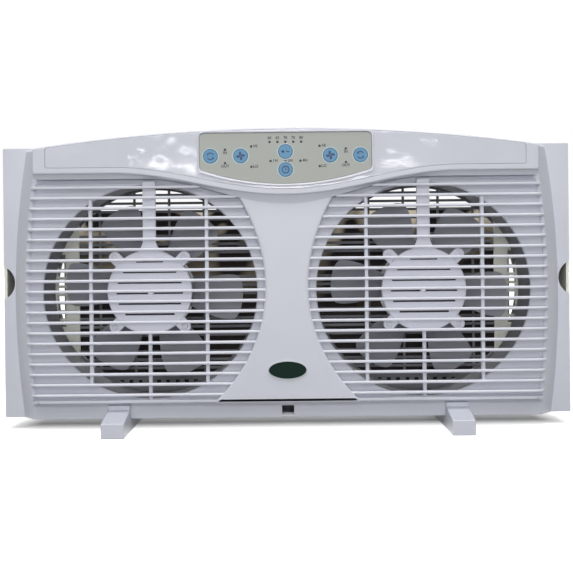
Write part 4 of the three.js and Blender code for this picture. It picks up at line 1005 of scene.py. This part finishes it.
for offset in row(SLOT_COUNT, SLOT_PITCH):
    z = offset + SLOT_SHIFT
    half = sqrt(SLOT_CIRCLE ** 2 - z ** 2)
    outline = rounded(rectangle(-half, half, z - SLOT_HALF_HEIGHT, z + SLOT_HALF_HEIGHT), 0.9 * MM, 4)
    slots.append(plate(outline, COVER_FRONT - MM, COVER_FRONT + WALL + MM))
screw_holes = [plate(circle(2 * MM, sx * LUG_OFFSET, sz * LUG_OFFSET, 32), COVER_FRONT - MM, SEAT_Y + MM)
               for sx, sz in lug_ends]
cover = shaped(cover, *slots, *screw_holes)
# The disc takes the lighter copy of the body's white, as painted light.
pair("motor_disc", cover, "body_plastic", "motor_cover", material=body_white_painted_light)

# %% [markdown]
# The impeller has six broad plastic blades on a cup-shaped hub. Each blade is a skin over aerofoil
# sections that turn flatter and wider towards the tip. One blade is lofted, and the tree turns six copies
# round the shaft, so the whole rotor follows from one blade.

# %% Impellers
HUB_RADIUS = 46 * MM
HUB_FRONT = -6 * MM
HUB_BACK = 24 * MM
HUB_WALL = 2.5 * MM
BOSS_RADIUS = 9 * MM
BOSS_FRONT = 8.9 * MM
SHAFT_BORE = 4.35 * MM
BLADE_COUNT = 6
BLADE_RADIUS = 101.5 * MM
BLADE_SWELL = 0.62


def blade_point(t, u, side):
    """Point of a blade: t from root to tip, u from -1 to 1 along the chord, side picks the face."""
    swell = sin(t * pi * BLADE_SWELL) / sin(pi * BLADE_SWELL)
    chord = (34 + 22 * swell) * MM
    pitch = radians(38 - 15 * t)
    radius = HUB_RADIUS - MM + (BLADE_RADIUS - HUB_RADIUS + MM) * t
    along = u * chord / 2
    across = 0.06 * chord * (1 - u * u) + side * MM * sqrt(max(0.0, 1 - u ** 4))
    angle = (along * cos(pitch) - across * sin(pitch)) / radius
    y = (HUB_FRONT + HUB_BACK) / 2 + along * sin(pitch) + across * cos(pitch)
    reach = radius - 4.2 * MM * u ** 4 * t ** 6
    return (reach * cos(angle), y, reach * sin(angle))


chord_steps = [-cos(a) for a in spread(0, pi, 20)]
round_section = [(u, 1) for u in chord_steps] + [(u, -1) for u in chord_steps[-2:0:-1]]
blade = loft([[blade_point(t, u, side) for u, side in round_section] for t in spread(0, 1, 14)])
blades = grown(turned_copies, {"Piece": blade, "Count": BLADE_COUNT, "First turn": radians(5)})
hub_inside = HUB_RADIUS - HUB_WALL
hub = lathe(rounded([
    (SHAFT_BORE, BOSS_FRONT), (BOSS_RADIUS, BOSS_FRONT), (BOSS_RADIUS, HUB_BACK - HUB_WALL),
    (hub_inside, HUB_BACK - HUB_WALL), (hub_inside, HUB_FRONT), (HUB_RADIUS, HUB_FRONT),
    (HUB_RADIUS, HUB_BACK), (SHAFT_BORE, HUB_BACK)], 1.2 * MM, 4), 128)
impeller = together(hub, blades)
pair("fan_wheel", impeller, "blade_plastic", "impeller", "rotor_{side}")

# %% [markdown]
# Shaft, bearing, nut and motor sit on the same axis. They are turned parts, so a profile says it all. The
# motor shows a stack of thin steel sheets between two end caps, which the profile makes as fine grooves.

# %% Motors and shafts
MOTOR_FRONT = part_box("motor_left")[0].y
MOTOR_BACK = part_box("motor_left")[1].y
SHAFT_FRONT, SHAFT_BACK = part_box("rotor_shaft_left")[0].y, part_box("rotor_shaft_left")[1].y
MOTOR_RADIUS = 37 * MM
FOOT_PLATE = 3 * MM
SHEET_COUNT = 16
EAR_RADIUS = 5.6 * MM
SHAFT_RADIUS = 4 * MM
BEARING_FRONT, BEARING_BACK = 4.3 * MM, 8.3 * MM
NUT_RADIUS = 8 * MM

can = [(SHAFT_BORE, MOTOR_FRONT), (COVER_RADIUS, MOTOR_FRONT), (COVER_RADIUS, MOTOR_FRONT + FOOT_PLATE),
       (MOTOR_RADIUS - 2 * MM, MOTOR_FRONT + FOOT_PLATE), (MOTOR_RADIUS - 2 * MM, MOTOR_FRONT + 8 * MM)]
for y in spread(MOTOR_FRONT + 8.2 * MM, MOTOR_BACK - 8 * MM, SHEET_COUNT)[:-1]:
    can += [(MOTOR_RADIUS, y), (MOTOR_RADIUS, y + 0.6 * MM), (MOTOR_RADIUS - 0.5 * MM, y + 0.7 * MM),
            (MOTOR_RADIUS - 0.5 * MM, y + 0.9 * MM)]
can += [(MOTOR_RADIUS - 2 * MM, MOTOR_BACK - 7 * MM), (MOTOR_RADIUS - 3 * MM, MOTOR_BACK - 2 * MM),
        (MOTOR_RADIUS - 8 * MM, MOTOR_BACK), (SHAFT_BORE, MOTOR_BACK)]
ear_outline = [(x * EAR_RADIUS / LUG_RADIUS, z) for x, z in lug_outline]
ears = turned(plate(ear_outline, MOTOR_FRONT, MOTOR_FRONT + FOOT_PLATE, 0.3 * MM), 4, pi / 4)
motor = together(lathe(can, 96), *ears)
shaft_end = SHAFT_RADIUS - 0.6 * MM
shaft = lathe([(0, SHAFT_FRONT), (shaft_end, SHAFT_FRONT), (SHAFT_RADIUS, SHAFT_FRONT + 0.6 * MM),
               (SHAFT_RADIUS, SHAFT_BACK - 0.6 * MM), (shaft_end, SHAFT_BACK), (0, SHAFT_BACK)], 48)
bearing = lathe(rounded([
    (SHAFT_BORE, BEARING_FRONT), (BOSS_RADIUS, BEARING_FRONT), (BOSS_RADIUS, BEARING_BACK),
    (SHAFT_BORE, BEARING_BACK)], 0.5 * MM, 3), 64)
nut = plate([(NUT_RADIUS * cos(pi / 3 * i), NUT_RADIUS * sin(pi / 3 * i)) for i in range(6)],
            HUB_BACK + GAP, HUB_BACK + GAP + 6 * MM, 0.6 * MM, [circle(SHAFT_BORE, steps=48)])
for side, sign in SIDES:
    at = {"x": sign * FAN_X, "z": FAN_Z}
    piece(f"motor_can_{side}", moved(motor, **at), "steel", [f"motor_{side}"], material=motor_black)
    piece(f"sleeve_bearing_{side}", moved(bearing, **at), "bronze", [f"motor_bearing_{side}"])
    piece(f"shaft_{side}", moved(shaft, **at), "steel", [f"rotor_shaft_{side}"], body=f"rotor_{side}")
    piece(f"wheel_nut_{side}", moved(nut, **at), "dark_plastic", [f"hub_nut_{side}"], body=f"rotor_{side}")

# %% [markdown]
# The screws are pan-head with a cross recess. One screw is turned and its cross is cut, and the tree sets
# a copy on each guide point with its own turn, because no one lines up the crosses of real screws.

# %% Screws
HEAD_RADIUS = 3.3 * MM
HEAD_HEIGHT = 1.8 * MM
SHANK_RADIUS = 1.6 * MM
CROSS_REACH = 1.7 * MM
CROSS_HALF = 0.35 * MM
CROSS_DEPTH = 1.1 * MM


def screw(length):
    """Pan-head screw along +Y, its head's top at y = 0."""
    body = lathe([(0, 0), (HEAD_RADIUS * 0.55, 0.08 * MM), (HEAD_RADIUS * 0.88, 0.5 * MM),
                  (HEAD_RADIUS, 1.2 * MM), (HEAD_RADIUS, HEAD_HEIGHT), (SHANK_RADIUS, HEAD_HEIGHT),
                  (SHANK_RADIUS, length - 1.5 * MM), (0, length)], 40)
    arm_a = box(-CROSS_REACH, CROSS_REACH, -MM, CROSS_DEPTH, -CROSS_HALF, CROSS_HALF)
    arm_b = box(-CROSS_HALF, CROSS_HALF, -MM, CROSS_DEPTH, -CROSS_REACH, CROSS_REACH)
    return shaped(body, shaped(arm_a, arm_b, how="UNION"))


motor_screw_low, motor_screw_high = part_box("motor_screw_left_1")
short_screw = screw(motor_screw_high.y - motor_screw_low.y)
# The screws take the discs' lighter white, whose extra brightness is painted light.
for side, sign in SIDES:
    places = [(sign * FAN_X + sx * LUG_OFFSET, motor_screw_low.y, FAN_Z + sz * LUG_OFFSET)
              for sx, sz in lug_ends]
    screws = grown(placed_copies, {"Piece": short_screw, "Turn": pi, "Seed": 4 + sign}, places)
    piece(f"cover_screws_{side}", screws, "steel", [f"motor_screw_{side}_{i + 1}" for i in range(4)],
          material=body_white_painted_light)
rear_low, rear_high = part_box("housing_screw_1")
long_screw = screw(rear_high.y - rear_low.y)
long_screw.transform(Matrix.Rotation(pi, 4, "Z"))
places = []
for i in range(6):
    low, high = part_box(f"housing_screw_{i + 1}")
    places.append(((low.x + high.x) / 2, high.y, (low.z + high.z) / 2))
screws = grown(placed_copies, {"Piece": long_screw, "Turn": pi, "Seed": 9}, places)
piece("rear_screws", screws, "steel", [f"housing_screw_{i + 1}" for i in range(6)])

# %% [markdown]
# The slatted front grille gives this fan its face. Twenty-one level slats run across each opening, turn
# back round the rounded side and end at the plain panel in the middle. Each slat is a path of three
# points at its own height; the tree rounds the bend and sweeps one soft-edged section along it. The paths
# stop where the waisted panel or the wavy ledge of the top cover cuts them.

# %% Grille slats
GRILLE_HALF = PLATEAU_HALF - MM
GRILLE_LOW = BOTTOM_Z + 18.4 * MM
SLAT_FIRST = TOP_Z - 47.4 * MM
SLAT_PITCH = 11.43 * MM
SLAT_HEIGHT = 3.3 * MM
SLAT_DEPTH = 5 * MM
SLAT_COUNT = 21
SLAT_SETBACK = 0.6 * MM
SLAT_TUCK = 2.2 * MM
ROUNDING = 11 * MM
FOOT_ROUNDING = 1.4 * MM
ISLAND_CENTRE_X = FAN_X + 41 * MM
ISLAND_CENTRE_Z = FAN_Z + 4 * MM
ISLAND_RADIUS = OPENING_RADIUS + 49.6 * MM


def island_x(z):
    """Half width of the plain middle panel."""
    return ISLAND_CENTRE_X - sqrt(ISLAND_RADIUS ** 2 - (z - ISLAND_CENTRE_Z) ** 2)


def dome_y(z):
    """Depth of the grille's face, which rolls back at its lower edge."""
    fall = GRILLE_LOW + FOOT_ROUNDING - z
    return SLAT_Y + (FOOT_ROUNDING - sqrt(max(0.0, FOOT_ROUNDING ** 2 - fall ** 2)) if fall > 0 else 0.0)


path_points, path_edges = [], []
for k in range(SLAT_COUNT):
    z = SLAT_FIRST - k * SLAT_PITCH
    side = side_x(z, GRILLE_HALF) - SLAT_DEPTH / 2
    end = side - ROUNDING
    while end > island_x(z) - SLAT_TUCK and ledge_z(end) > z:
        end -= 0.5 * MM
    front = dome_y(z) + SLAT_DEPTH / 2 + SLAT_SETBACK
    for sign in (-1, 1):
        start = len(path_points)
        path_points += [(sign * side, SEAT_Y, z), (sign * side, front, z), (sign * end, front, z)]
        path_edges += [(start, start + 1), (start + 1, start + 2)]
slats = grown(swept_bars, {"Depth": SLAT_DEPTH, "Height": SLAT_HEIGHT, "Edge radius": 1.4 * MM,
                           "Bend radius": ROUNDING - SLAT_DEPTH / 2}, path_points, path_edges)
# The slats take the lighter copy of the body's white: a painted highlight on their lit tops.
piece("grille_slats", slats, "body_plastic", ["front_grille"], material=body_white_painted_light)

# %% [markdown]
# Between the fans the grille is a plain waisted panel. It could be cut from a block, but a skin over level
# sections follows the changing width, keeps its corner radius and lets the top edge follow the ledge.

# %% Grille panel
def island_ring(v):
    """Closed section of the middle panel, v from its foot to the ledge."""
    low = GRILLE_LOW
    guess = low + v * (ledge_z(0) - low)
    half, front = island_x(guess), dome_y(guess)
    corner = rounded([(-half, SEAT_Y), (-half, front), (half, front), (half, SEAT_Y)], 3.4 * MM, 4, {1, 2})
    outer = corner[:6] + [(x, front) for x in spread(corner[5][0], corner[6][0], 24)[1:-1]] + corner[6:]
    inner = [(half - WALL, SEAT_Y), (half - WALL, front + WALL), (WALL - half, front + WALL),
             (WALL - half, SEAT_Y)]
    return [(x, y, low + v * (ledge_z(x) - GAP - low)) for x, y in outer + inner]


foot_steps = [FOOT_ROUNDING * (1 - cos(a)) / (ledge_z(0) - GRILLE_LOW) for a in spread(0, pi / 2, 6)]
island = loft([island_ring(v) for v in foot_steps + spread(foot_steps[-1], 1, 60)[1:]])
piece("grille_middle_panel", island, "body_plastic", ["front_grille"])

# %% [markdown]
# The strip under the slats, the rim that seats on the housing and the upright ribs behind the slats
# complete the grille. The strip is cut from a smooth shell, so its ends roll round like the slats'.

# %% Grille strip, rim and ribs
def dome(offset, front, radius, foot_radius, steps=8):
    """Solid under the grille's smooth face, rounder at its sides than at its foot."""
    rings = [level(body_outline(GRILLE_HALF, GRILLE_LOW, offset), SEAT_Y)]
    for a in spread(0, pi / 2, steps):
        side_draw, foot_draw = radius * (1 - cos(a)), foot_radius * (1 - cos(a))
        outline = body_outline(GRILLE_HALF - side_draw + foot_draw, GRILLE_LOW, offset + foot_draw)
        rings.append(level(outline, front + radius * (1 - sin(a))))
    return loft(rings)


STRIP_TOP = GRILLE_LOW + 4 * MM
RIM_WIDTH = 4 * MM
RIM_FRONT = SEAT_Y - MM
RIB_OFFSET = 64 * MM
RIB_HALF = 2 * MM

strip = shaped(dome(0, SLAT_Y, ROUNDING, FOOT_ROUNDING),
               dome(3 * MM, SLAT_Y + SLAT_DEPTH, ROUNDING - 3 * MM, FOOT_ROUNDING / 2),
               box(-1, 1, SLAT_Y - MM, SEAT_Y + MM, STRIP_TOP, 1))
side_line = [(side_x(z, GRILLE_HALF), z) for z in spread(GRILLE_LOW, TOP_Z - 39 * MM, 40)]
ledge_line = [(x, ledge_z(x) - GAP) for x in spread(side_line[-1][0], -side_line[-1][0], 120)]
rim_outline = side_line[:-1] + ledge_line + [(-x, z) for x, z in reversed(side_line[:-1])]
rim = plate(rim_outline, RIM_FRONT, SEAT_Y, 0.4 * MM, [inset(rim_outline, RIM_WIDTH)])
carrier_room = []
for _, sign in SIDES:
    for half, reach in ((ARM_HALF + GAP, ARM_REACH + GAP), (STRUT_HALF + GAP, -ARM_REACH - GAP)):
        carrier_room.append(box(sign * FAN_X - half, sign * FAN_X + half, COVER_FRONT, SEAT_Y + MM,
                                FAN_Z, FAN_Z + reach))
piece("grille_strip", shaped(strip, *carrier_room), "body_plastic", ["front_grille"])
piece("grille_rim", shaped(rim, *carrier_room), "body_plastic", ["front_grille"])
rib_reach = sqrt(OPENING_RADIUS ** 2 - RIB_OFFSET ** 2) + 3 * MM
ribs = together(*[
    box(sign * FAN_X + hand * RIB_OFFSET - RIB_HALF, sign * FAN_X + hand * RIB_OFFSET + RIB_HALF,
        SLAT_Y + SLAT_DEPTH - MM, SLAT_Y + 2 * SLAT_DEPTH, FAN_Z - rib_reach, FAN_Z + rib_reach, 0.7 * MM)
    for _, sign in SIDES for hand in (-1, 1)])
piece("grille_ribs", ribs, "body_plastic", ["front_grille"])

# %% [markdown]
# The top cover is an arched shell with a wavy lower edge. A cove runs under that edge, down to the ledge
# over the grille, and its shade draws the wave. The whole skin is one loft from the seat forwards, whose
# lower edge moves from the ledge curve to the wave curve as it comes out.

# %% Top cover
POD_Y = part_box("control_pod")[0].y
POD_WALL = 3 * MM
POD_EDGE = 2 * MM
STEP_Y = SLAT_Y - GAP
POD_STEPS = 96
PANEL_TOP = APEX_Z - 5.4 * MM
PANEL_HALF = 94 * MM
PANEL_HEIGHT = 39.7 * MM
PANEL_DIP = 16 * MM
PANEL_CORNER = 6 * MM


def pod_outline(low_edge, draw_in=0.0, low_in=None, side_in=None, corner=2.5 * MM):
    """Arch above, wave below, with an inset of its own for each edge."""
    low_in = draw_in if low_in is None else low_in
    arch_half = side_x(CORNER_Z, PLATEAU_HALF)
    half = arch_half - (draw_in if side_in is None else side_in)
    top = [(x, CORNER_Z - draw_in + ARCH_RISE * (1 - (x / arch_half) ** 2))
           for x in spread(half, -half, POD_STEPS)]
    low = [(x, low_edge(x) + low_in) for x in spread(-half, half, POD_STEPS)]
    corners = {0, POD_STEPS, POD_STEPS + 1, 2 * POD_STEPS + 1}
    return rounded(top + low, corner, 3, corners)


def cove(t):
    """Lower edge of the cover part of the way up the cove."""
    return lambda x: ledge_z(x) + (wave_z(x) - ledge_z(x)) * t


COVE_Y = POD_Y + POD_EDGE
rings = [level(pod_outline(ledge_z), SEAT_Y), level(pod_outline(ledge_z), STEP_Y)]
for t in spread(0, 1, 8)[1:]:
    rings.append(level(pod_outline(cove(t)), STEP_Y + (COVE_Y - STEP_Y) * t ** 1.3))
for a in spread(0, pi / 2, 5)[1:]:
    rings.append(level(pod_outline(wave_z, POD_EDGE * (1 - cos(a))), COVE_Y - POD_EDGE * sin(a)))
pod_room = loft([level(pod_outline(wave_z, POD_WALL), POD_Y + POD_WALL),
                 level(pod_outline(ledge_z, POD_WALL), STEP_Y),
                 level(pod_outline(ledge_z, POD_WALL), SEAT_Y + MM)])


def fascia_outline(extra=0.0):
    return pod_outline(wave_z, 1.8 * MM - extra, 7 * MM - extra, 14.5 * MM - extra, 4 * MM)


def panel_outline(draw_in=0.0, low_steps=48):
    """Control panel: flat top, round corners and a dipping lower edge."""
    half, low = PANEL_HALF - draw_in, PANEL_TOP - PANEL_HEIGHT + draw_in
    across = [-half] + spread(9 * MM - half, half - 9 * MM, low_steps) + [half]
    dip = [(x, low - PANEL_DIP * (1 - (x / half) ** 2)) for x in across]
    top = PANEL_TOP - draw_in
    last = len(dip) - 1
    return rounded(dip + [(half, top), (-half, top)], PANEL_CORNER, 6, {0, last, last + 1, last + 2})


recess = plate(fascia_outline(GAP), POD_Y - MM, POD_Y + 1.8 * MM)
panel_window = plate(panel_outline(2.5 * MM), POD_Y, POD_Y + POD_WALL + MM)
pod = shaped(loft(rings), pod_room, recess, panel_window)
piece("top_cover", pod, "body_plastic", ["control_pod"])

# %% [markdown]
# A glossy inlay fills the top cover, with a low raised rim round the control panel. Gloss shows every
# swell of the moulding, so its finish has a slow wave under a clear coat, and its light comes from there.

# %% Glossy inlay and its rim
INLAY_BACK = POD_Y + 1.5 * MM
RIM_PROUD = 1.5 * MM

inlay = plate(fascia_outline(), POD_Y, INLAY_BACK, 0.35 * MM, [panel_outline(-GAP)])
collar = plate(panel_outline(-2.7 * MM), POD_Y - RIM_PROUD, INLAY_BACK, 0.8 * MM, [panel_outline(-GAP)])
collar = shaped(collar, plate(fascia_outline(), POD_Y - 2 * MM, INLAY_BACK + MM), how="INTERSECT")
piece("gloss_inlay", shaped(inlay, collar, how="UNION"), "gloss_trim", ["fascia_trim"])

# %% [markdown]
# The control panel is a grey printed film on a thin plate, with a pale ring printed round each key's hole.
# The keys' places come from the frame.

# %% Control panel
PANEL_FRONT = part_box("control_panel")[0].y
PANEL_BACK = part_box("control_panel")[1].y
KEY_RADIUS = 7.6 * MM
KEYS = ("key_exchange_left", "key_speed_left", "key_set",
        "key_timer", "key_speed_right", "key_exchange_right")


def key_place(name):
    low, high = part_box(name)
    return (low.x + high.x) / 2, (low.z + high.z) / 2


key_holes = [circle(KEY_RADIUS + GAP, *key_place(name), 64) for name in KEYS]
film = plate(panel_outline(), PANEL_FRONT, PANEL_BACK, 0.3 * MM, key_holes)
piece("panel_plate", film, "panel_film", ["control_panel"])
key_ring = plate(circle(KEY_RADIUS + 1.5 * MM), PANEL_FRONT - 0.12 * MM, PANEL_FRONT + 0.1 * MM, 0.05 * MM,
                 [circle(KEY_RADIUS + 0.5 * MM)])
key_rings = grown(placed_copies, {"Piece": key_ring, "Turn": 0.0, "Seed": 0},
                  [(key_place(name)[0], 0, key_place(name)[1]) for name in KEYS])
piece("key_rings", key_rings, "gloss_trim", material=ring_blue)

# %% [markdown]
# Six round blue keys come through the film. Each moves on its own, so its cap and its printed sign ride on
# that key's body. The signs are plain ones: two arrows in a ring, a fan, minus and plus, and a clock.

# %% Keys and their signs
PIN_RADIUS = 2.5 * MM
KEY_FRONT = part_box("key_set")[0].y
KEY_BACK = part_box("key_set")[1].y

flange_front, flange_back = PANEL_BACK + GAP, PANEL_BACK + 1.5 * MM
cap = lathe([(0, KEY_FRONT + 0.2 * MM), (5.4 * MM, KEY_FRONT + 0.15 * MM), (6.6 * MM, KEY_FRONT),
             (7.3 * MM, KEY_FRONT + 0.1 * MM), (KEY_RADIUS, KEY_FRONT + 0.45 * MM),
             (KEY_RADIUS, flange_front), (KEY_RADIUS + MM, flange_front), (KEY_RADIUS + MM, flange_back),
             (PIN_RADIUS, flange_back), (PIN_RADIUS, KEY_BACK), (0, KEY_BACK)], 64)


def band(radius, width, start, end, steps=24):
    """Curved strip of a sign."""
    turns = spread(start, end, steps)
    outer = [((radius + width / 2) * cos(a), (radius + width / 2) * sin(a)) for a in turns]
    inner = [((radius - width / 2) * cos(a), (radius - width / 2) * sin(a)) for a in reversed(turns)]
    return outer + inner


def arrow_head(radius, turn, size):
    """Small triangle at the end of a curved strip."""
    tip = turn + size / radius
    return [((radius + size * 0.7) * cos(turn), (radius + size * 0.7) * sin(turn)),
            (radius * cos(tip), radius * sin(tip)),
            ((radius - size * 0.7) * cos(turn), (radius - size * 0.7) * sin(turn))]


def petal(turn):
    """One blade of the fan sign."""
    shape = circle(1.25 * MM, 2.6 * MM, 0.6 * MM, 20, 1.8)
    return [(x * cos(turn) - z * sin(turn), x * sin(turn) + z * cos(turn)) for x, z in shape]


LINE = 0.55 * MM
EXCHANGE_RADIUS = 3.6 * MM
CLOCK_RADIUS = 3.7 * MM
plus_x = -2.7 * MM
exchange_sign = []
for turn in (0, pi):
    exchange_sign += [band(EXCHANGE_RADIUS, 2 * LINE, 0.5 + turn, 2.4 + turn),
                      arrow_head(EXCHANGE_RADIUS, 2.4 + turn, 2 * MM)]
SIGNS = {
    "exchange": exchange_sign,
    "speed": [petal(i * pi / 2) for i in range(4)],
    "set": [rectangle(-4.4 * MM, -1 * MM, -LINE, LINE),
            rectangle(plus_x - LINE, plus_x + LINE, -1.7 * MM, 1.7 * MM),
            rectangle(1 * MM, 4.4 * MM, -LINE, LINE)],
    "timer": [band(CLOCK_RADIUS, 2 * LINE, 0, pi), band(CLOCK_RADIUS, 2 * LINE, pi, 2 * pi),
              rectangle(-0.7 * LINE, 0.7 * LINE, -0.4 * MM, 2.4 * MM),
              rectangle(0.7 * LINE, 2 * MM, -0.4 * MM, 0.5 * LINE)],
}
for name in KEYS:
    x, z = key_place(name)
    piece(name + "_cap", moved(cap, x, 0, z), "key_blue", [name], body=name)
    sign_name = next(label for label in SIGNS if label in name)
    strokes = [plate(outline, KEY_FRONT - 0.02 * MM, KEY_FRONT + 0.3 * MM) for outline in SIGNS[sign_name]]
    piece(name + "_sign", moved(together(*strokes), x, 0, z), "dark_plastic", body=name, material=ink_navy)

# %% [markdown]
# Round the keys the film shows small dark lamp windows with plain marks beside them. Copies on points
# make the windows, and the marks are short words and numbers, turned into meshes of a tenth of a
# millimetre so that they stay on the film from any side.

# %% Lamp windows and marks
LAMP_RADIUS = 1.4 * MM
DEGREE_Z = PANEL_TOP - 10.2 * MM
HOUR_Z = PANEL_TOP - 31 * MM
FLOW_X = 66 * MM
SPEED_X = 37.3 * MM
SMALL_TEXT, LARGE_TEXT = 2.6, 2.8
DEGREES = ("60", "65", "70", "75", "80")
HOURS = ("1H", "2H", "4H")
degree_x = row(len(DEGREES), 8.65 * MM)
hour_x = row(len(HOURS), 16.3 * MM)
lamps = [(x, DEGREE_Z) for x in degree_x] + [(x, HOUR_Z) for x in hour_x]
marks = [(text, x, DEGREE_Z + 3.2 * MM, SMALL_TEXT) for text, x in zip(DEGREES, degree_x)]
marks += [(text, x + 5 * MM, HOUR_Z - MM, LARGE_TEXT) for text, x in zip(HOURS, hour_x)]
for sign in (-1, 1):
    for drop, text in ((18.2, "IN"), (33, "OUT")):
        lamps.append((sign * FLOW_X, PANEL_TOP - drop * MM))
        marks.append((text, sign * FLOW_X, PANEL_TOP - (drop + 4.6) * MM, SMALL_TEXT))
    for drop, text in ((14.9, "HI"), (37.1, "LO")):
        lamps.append((sign * SPEED_X, PANEL_TOP - drop * MM))
        marks.append((text, sign * SPEED_X + 4.6 * MM, PANEL_TOP - (drop + 1) * MM, LARGE_TEXT))
lamp_window = plate(circle(LAMP_RADIUS, steps=32), PANEL_FRONT - 0.1 * MM, PANEL_FRONT + 0.2 * MM, 0.05 * MM)
lamp_windows = grown(placed_copies, {"Piece": lamp_window, "Turn": 0.0, "Seed": 0},
                     [(x, 0, z) for x, z in lamps])
piece("lamp_windows", lamp_windows, "dark_plastic")


def lettering(text, x, z, size):
    """A short mark as a thin mesh on the film, centred on x. The font needs 1.6 times the letters' height."""
    curve = bpy.data.curves.new("mark", "FONT")
    curve.body, curve.size, curve.extrude = text, size * 1.6 * MM, 0.05 * MM
    curve.offset = 0.13 * MM
    curve.align_x, curve.resolution_u = "CENTER", 2
    holder = bpy.data.objects.new("mark", curve)
    scene.collection.objects.link(holder)
    mesh = evaluated(holder)
    mesh.transform(Matrix.Translation((x, PANEL_FRONT - 0.02 * MM, z)) @ Matrix.Rotation(pi / 2, 4, "X"))
    return mesh


piece("panel_marks", together(*[lettering(*mark) for mark in marks]), "dark_plastic", material=ink_dark)

# %% [markdown]
# The oval badge on the middle panel stays bare: a dark green plate in a thin pale rim.

# %% Badge
BADGE_LOW, BADGE_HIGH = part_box("badge")
badge_z = (BADGE_LOW.z + BADGE_HIGH.z) / 2
BADGE_HALF = 21.4 * MM
BADGE_RADIUS = 10.2 * MM
BADGE_RIM = 0.8 * MM


def oval(draw_in):
    return [((BADGE_HALF - draw_in) * cos(a), badge_z + (BADGE_RADIUS - draw_in) * sin(a))
            for a in spread(0, 2 * pi, 96)[:-1]]


badge_field = plate(oval(BADGE_RIM), BADGE_LOW.y + 0.2 * MM, BADGE_HIGH.y, 0.4 * MM)
badge_rim = plate(oval(0), BADGE_LOW.y, BADGE_HIGH.y, 0.3 * MM, [oval(BADGE_RIM)])
piece("badge_plate", badge_field, "badge_green", ["badge"])
piece("badge_rim", badge_rim, "gloss_trim", material=ring_white)

# %% [markdown]
# The cord comes out of a ribbed rubber gland in the back. Only the gland is here, turned with its grooves.

# %% Cord gland
GLAND_FRONT, GLAND_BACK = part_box("cord_gland")[0].y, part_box("cord_gland")[1].y
CORD_BORE = 3.4 * MM
gland = lathe([(CORD_BORE, GLAND_FRONT), (6 * MM, GLAND_FRONT), (6 * MM, REAR_Y + GAP),
               (8 * MM, REAR_Y + GAP), (7.8 * MM, REAR_Y + 1.1 * MM),
               (6.6 * MM, REAR_Y + 1.3 * MM), (6.6 * MM, REAR_Y + 1.8 * MM),
               (7.4 * MM, REAR_Y + 2 * MM), (7 * MM, GLAND_BACK), (CORD_BORE, GLAND_BACK)], 64)
piece("rubber_gland", moved(gland, 0, 0, GLAND_Z), "dark_plastic", ["cord_gland"])
